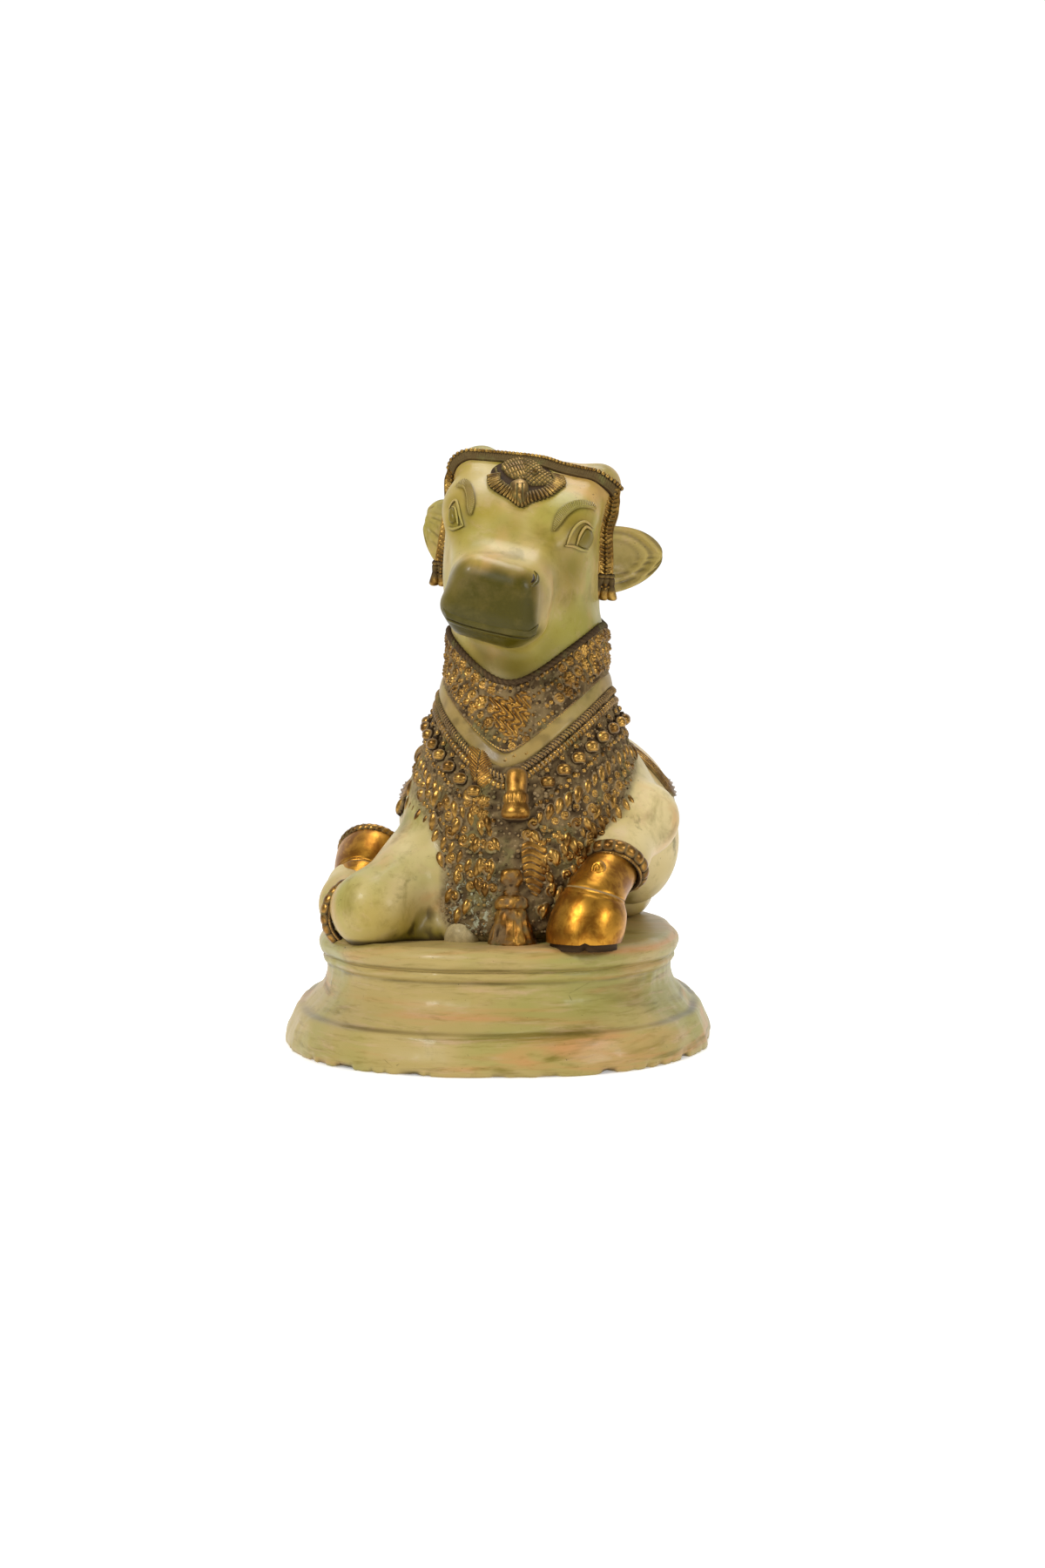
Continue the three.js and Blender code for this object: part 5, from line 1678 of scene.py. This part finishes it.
# profiles from the top down: the radius and how far down, in millimetres
pendantProfile = [
    (0.02, 0), (3.2, 0.3), (5.8, 1.6), (7.3, 4), (8.0, 7), (8.1, 12), (7.9, 17), (7.7, 19.5), (8.8, 20.5),
    (9.6, 22.5), (9.6, 26), (8.7, 27.2), (9.0, 28), (10.2, 32), (10.6, 35), (9.6, 37.6), (7.0, 39),
    (0.02, 39.4),
]
tasselCorners = [
    (0.02, 0), (4, 0.4), (6.8, 2.6), (7.9, 6.5), (7.3, 10), (5.4, 13), (5.0, 15), (6.0, 16.5), (5.4, 18),
    (8.6, 19.5), (11.2, 21.5), (11.8, 25), (11.4, 27.5), (9.4, 28.8), (10.4, 30), (12.4, 36), (14.4, 43),
    (16.6, 49), (17.2, 52), (15, 54), (0.02, 54),
]
tasselProfile = [(max(r, 0.02), at) for r, at in curve(tasselCorners, 60)]
chestPixels = {
    "pendant": (594, 882), "tassel": (587, 997),
    "plate": [(564, 797), (575, 800), (590, 799), (604, 792), (611, 804), (609, 822), (602, 838), (594, 848),
              (583, 850), (573, 842), (566, 826), (562, 810)],
    "spirals": [(591, 843), (605, 849), (589, 857), (603.5, 866), (590, 869), (580, 874)],
    "herringbone": [(538, 858), (550, 858), (561, 864), (567, 880), (566, 900), (556, 908), (546, 903),
                    (540, 885)],
    "lumps": [(548, 914), (557, 921), (546, 930), (556, 936), (538, 922)],
    "wave": [(599, 968), (612, 962), (625, 966), (628, 985), (626, 1010), (617, 1030), (607, 1022),
             (600, 1000)],
    "boss": (530, 1074),
}


def slits(y, turn):
    # upright slits in the pendant's collar, and a skirt that is a little wider than deep
    cut = rise(0.55, 0.95, np.abs(np.cos(11 * turn))) * rise(21, 22.5, y) * rise(26.8, 25.8, y)
    return 1 - 0.10 * cut + 0.05 * np.abs(np.sin(turn)) * rise(28, 34, y)


def wornFolds(y, turn):
    return 1 - 0.06 * np.abs(np.cos(8 * turn)) * rise(30, 40, y) + 0.03 * np.cos(5 * turn + 0.4 * y)


def addPendants():
    pendant = hungForm(pendantProfile, seen([chestPixels["pendant"]], trunk), trunk, 3.0, 96, slits)
    point = seen([chestPixels["tassel"]], trunk)
    tassel = hungForm(tasselProfile, point, trunk, 2.0, 110, wornFolds, (0, -0.25, -1))
    bumps = noise(tassel.points, 5, 51) + 0.7 * noise(tassel.points, 2.4, 52)
    away = unitOf((tassel.points - point[0]) * vec(1, 1, 0))
    tassel.points = tassel.points + away * (0.9 * bumps)[:, None]
    tassel.raised = np.clip(0.62 + 0.4 * bumps, 0.25, 1)
    addPiece("pendants", joined([pendant, tassel]), gildedBrass)


def swirl(x, y):
    return scored(0.62 * x + 2.0 * np.sin(0.5 * y + 0.3 * x), 0.42)


def chevrons(x, y):
    return scored(1.35 * (y + 0.9 * np.abs(x)), 0.45) + ridge(x, 0.5)


def waves(x, y):
    return scored(0.62 * (y + 2.2 * np.sin(0.28 * x + 0.6)))


def swollen(r, turn, x, y):
    return 3.4 - 1.4 * r**4 + 0.6 * np.sin(1.1 * y + 0.9 * x)


def addChestPlates():
    forms = []
    for name, step, height, rows, cut, deep in (
        ("plate", 0.6, swollen, 32, swirl, 1.5),
        ("herringbone", 0.5, lambda r, *_: 4.2 * dome(r, 1.05, 4), 26, chevrons, 0.9),
        ("wave", 0.52, lambda r, *_: 3.6 - 1.4 * r**4, 24, waves, 1.4),
    ):
        forms.append(pad(photoLine(chestPixels[name], step, True, trunk), trunk, height, rows, cut, deep))
    addPiece("chest_plates", joined(forms), gildedBrass)


def addChestBosses():
    forms = []
    for name, kind, sizes in (
        ("spirals", curlBoss(4.0, 3.0, 1.4), 1.0),
        ("lumps", rosette(5.4, 4.4, 5), (1, 1.1, 0.9, 1.0, 0.8)),
    ):
        spots = settled(trunk, seen(chestPixels[name], trunk))
        forms.append(kind.placed(spots, *frameOn(spots, trunk), sizes))
    addPiece("chest_spirals", joined(forms), wornBrass)
    form = bossForm(13, 9, lambda r, turn: dome(r, 1.01) * (1 + 0.06 * np.cos(3 * turn)), 16, 48)
    spot = seen([chestPixels["boss"]], figure)
    form = form.placed(spot - vec(0, 0, 3), *frameOn(spot, figure))
    form.raised[:] = 0
    addPiece("chest_boss", form, skinPatina, dusty=0.5)


garlandPixels = {
    "curls": [
        [(708, 903), (692, 918), (676, 931), (660, 945), (645, 960), (634, 978), (626, 998)],
        [(700, 935), (688, 948), (674, 962), (662, 978), (652, 996), (645, 1016)],
        [(676, 968), (664, 990), (656, 1010)],
        [(560, 935), (553, 952), (548, 972), (556, 990), (546, 1008), (540, 1030)],
        [(522, 985), (530, 1003), (522, 1020), (530, 1040)],
        [(566, 960), (564, 980), (560, 1003), (556, 1022)],
        [(612, 945), (606, 958)], [(632, 1010), (630, 1030), (622, 1045)],
    ],
    "leaves": [(478, 893), (487, 912), (501, 930), (516, 921), (531, 938), (478, 934), (491, 955), (541, 912),
               (506, 903), (520, 955), (466, 915), (535, 965), (505, 975)],
}


def hungOn(kind, spots, lean, lift, keep, sizes):
    # copies of a kind on the chest, each hanging down and leaning sideways
    across, along, out = frameOn(spots, trunk)
    tip = unitOf(along + across * lean[:, None])
    places = spots + out * lift, np.cross(tip, out), tip, out, sizes
    return kind.placed(*(values[keep] for values in places))


def addGarlands():
    forms = []
    for n, corners in enumerate(garlandPixels["curls"]):
        line = photoLine(corners, 8.2, field=trunk)
        lean = draw.uniform(-0.6, 0.6, len(line.s))
        for k, kind in enumerate((curlBoss(5.2, 4.4, 1.3), leafForm(14, 8.5, 4.6))):
            keep = (np.arange(len(line.s)) + n) % 2 == k
            forms.append(hungOn(kind, line.points, lean, 0.4, keep, 1 + 0.12 * lean))
    spots = settled(trunk, seen(garlandPixels["leaves"], trunk))
    for k, kind in enumerate((leafForm(17, 10, 5.2), curlBoss(6.2, 5.0, 1.5))):
        keep = np.arange(len(spots)) % 2 == k
        lean = draw.uniform(-1.1, 0.5, len(spots))
        forms.append(hungOn(kind, spots, lean, 0.3, keep, np.ones(len(spots))))
    addPiece("garlands", joined(forms), wornBrass)


addPlinth()
addHead()
addBody()
addFace()
addMouth()
addNeckGround()
addNeckStrands()
addCollarRelief()
addHangings()
addHeadWear()
addMedallion()
addEars()
addFeet()
addSaddle()
addTail()
addPendants()
addChestPlates()
addChestBosses()
addGarlands()


# Studio: a pale floor, soft lights and the photograph's camera

studio = {
    "backdrop": 1.08, "room": 0.26, "floorGlow": 0.34, "floorHalf": 6, "aim": (0, 0, 0.22),
    "lights": [
        ("key_light", (-1.2, -1.5, 1.6), 0.5, 34),
        ("fill_light", (1.5, -1.3, 0.9), 0.5, 13),
        ("top_light", (0.2, 0.3, 2.0), 0.9, 17),
    ],
}


def addStudio():
    scene = bpy.context.scene
    scene.view_settings.view_transform = "Standard"
    floorShade = Shade("studio_floor")
    pale, white = (0.9, 0.9, 0.9, 1), (1, 1, 1, 1)
    floorShade.set(basecolor=pale, roughness=0.3, emissioncolor=white, emissionstrength=studio["floorGlow"])
    mesh = bpy.data.meshes.new("studio_floor")
    half = studio["floorHalf"]
    corners = [(-half, -half, 0), (half, -half, 0), (half, half, 0), (-half, half, 0)]
    mesh.from_pydata(corners, [], [(0, 1, 2, 3)])
    mesh.materials.append(floorShade.material)
    floor = bpy.data.objects.new("studio_floor", mesh)
    scene.collection.objects.link(floor)
    world = bpy.data.worlds.new("studio_air")
    scene.world = world
    world.use_nodes = True
    air = world.node_tree.nodes
    way = air.new("ShaderNodeTexCoord")
    parts = air.new("ShaderNodeSeparateXYZ")
    behind = air.new("ShaderNodeMapRange")
    for socket, value in ((1, 0.1), (2, 0.75), (3, studio["room"]), (4, studio["backdrop"])):
        behind.inputs[socket].default_value = value
    world.node_tree.links.new(way.outputs["Generated"], parts.inputs[0])
    world.node_tree.links.new(parts.outputs["Y"], behind.inputs[0])
    world.node_tree.links.new(behind.outputs[0], air["Background"].inputs["Strength"])
    air["Background"].inputs["Color"].default_value = white
    for name, place, size, power in studio["lights"]:
        lamp = bpy.data.lights.new(name, "AREA")
        lamp.energy, lamp.size = power, size
        lightObject = bpy.data.objects.new(name, lamp)
        lightObject.location = place
        aim = vec(*studio["aim"]) - vec(*place)
        yaw, pitch = math.atan2(aim[0], -aim[1]), math.atan2(math.hypot(aim[0], aim[1]), -aim[2])
        lightObject.rotation_euler = (pitch, 0, yaw + math.pi)
        scene.collection.objects.link(lightObject)
    eye = bpy.data.cameras.new("photo_camera")
    eye.lens, eye.sensor_width = camera["lens"], 36
    eyeObject = bpy.data.objects.new("photo_camera", eye)
    eyeObject.location = [v * mm for v in camera["place"]]
    eyeObject.rotation_euler = (math.radians(90 - camera["tilt"]), 0, 0)
    scene.collection.objects.link(eyeObject)
    scene.camera = eyeObject


addStudio()
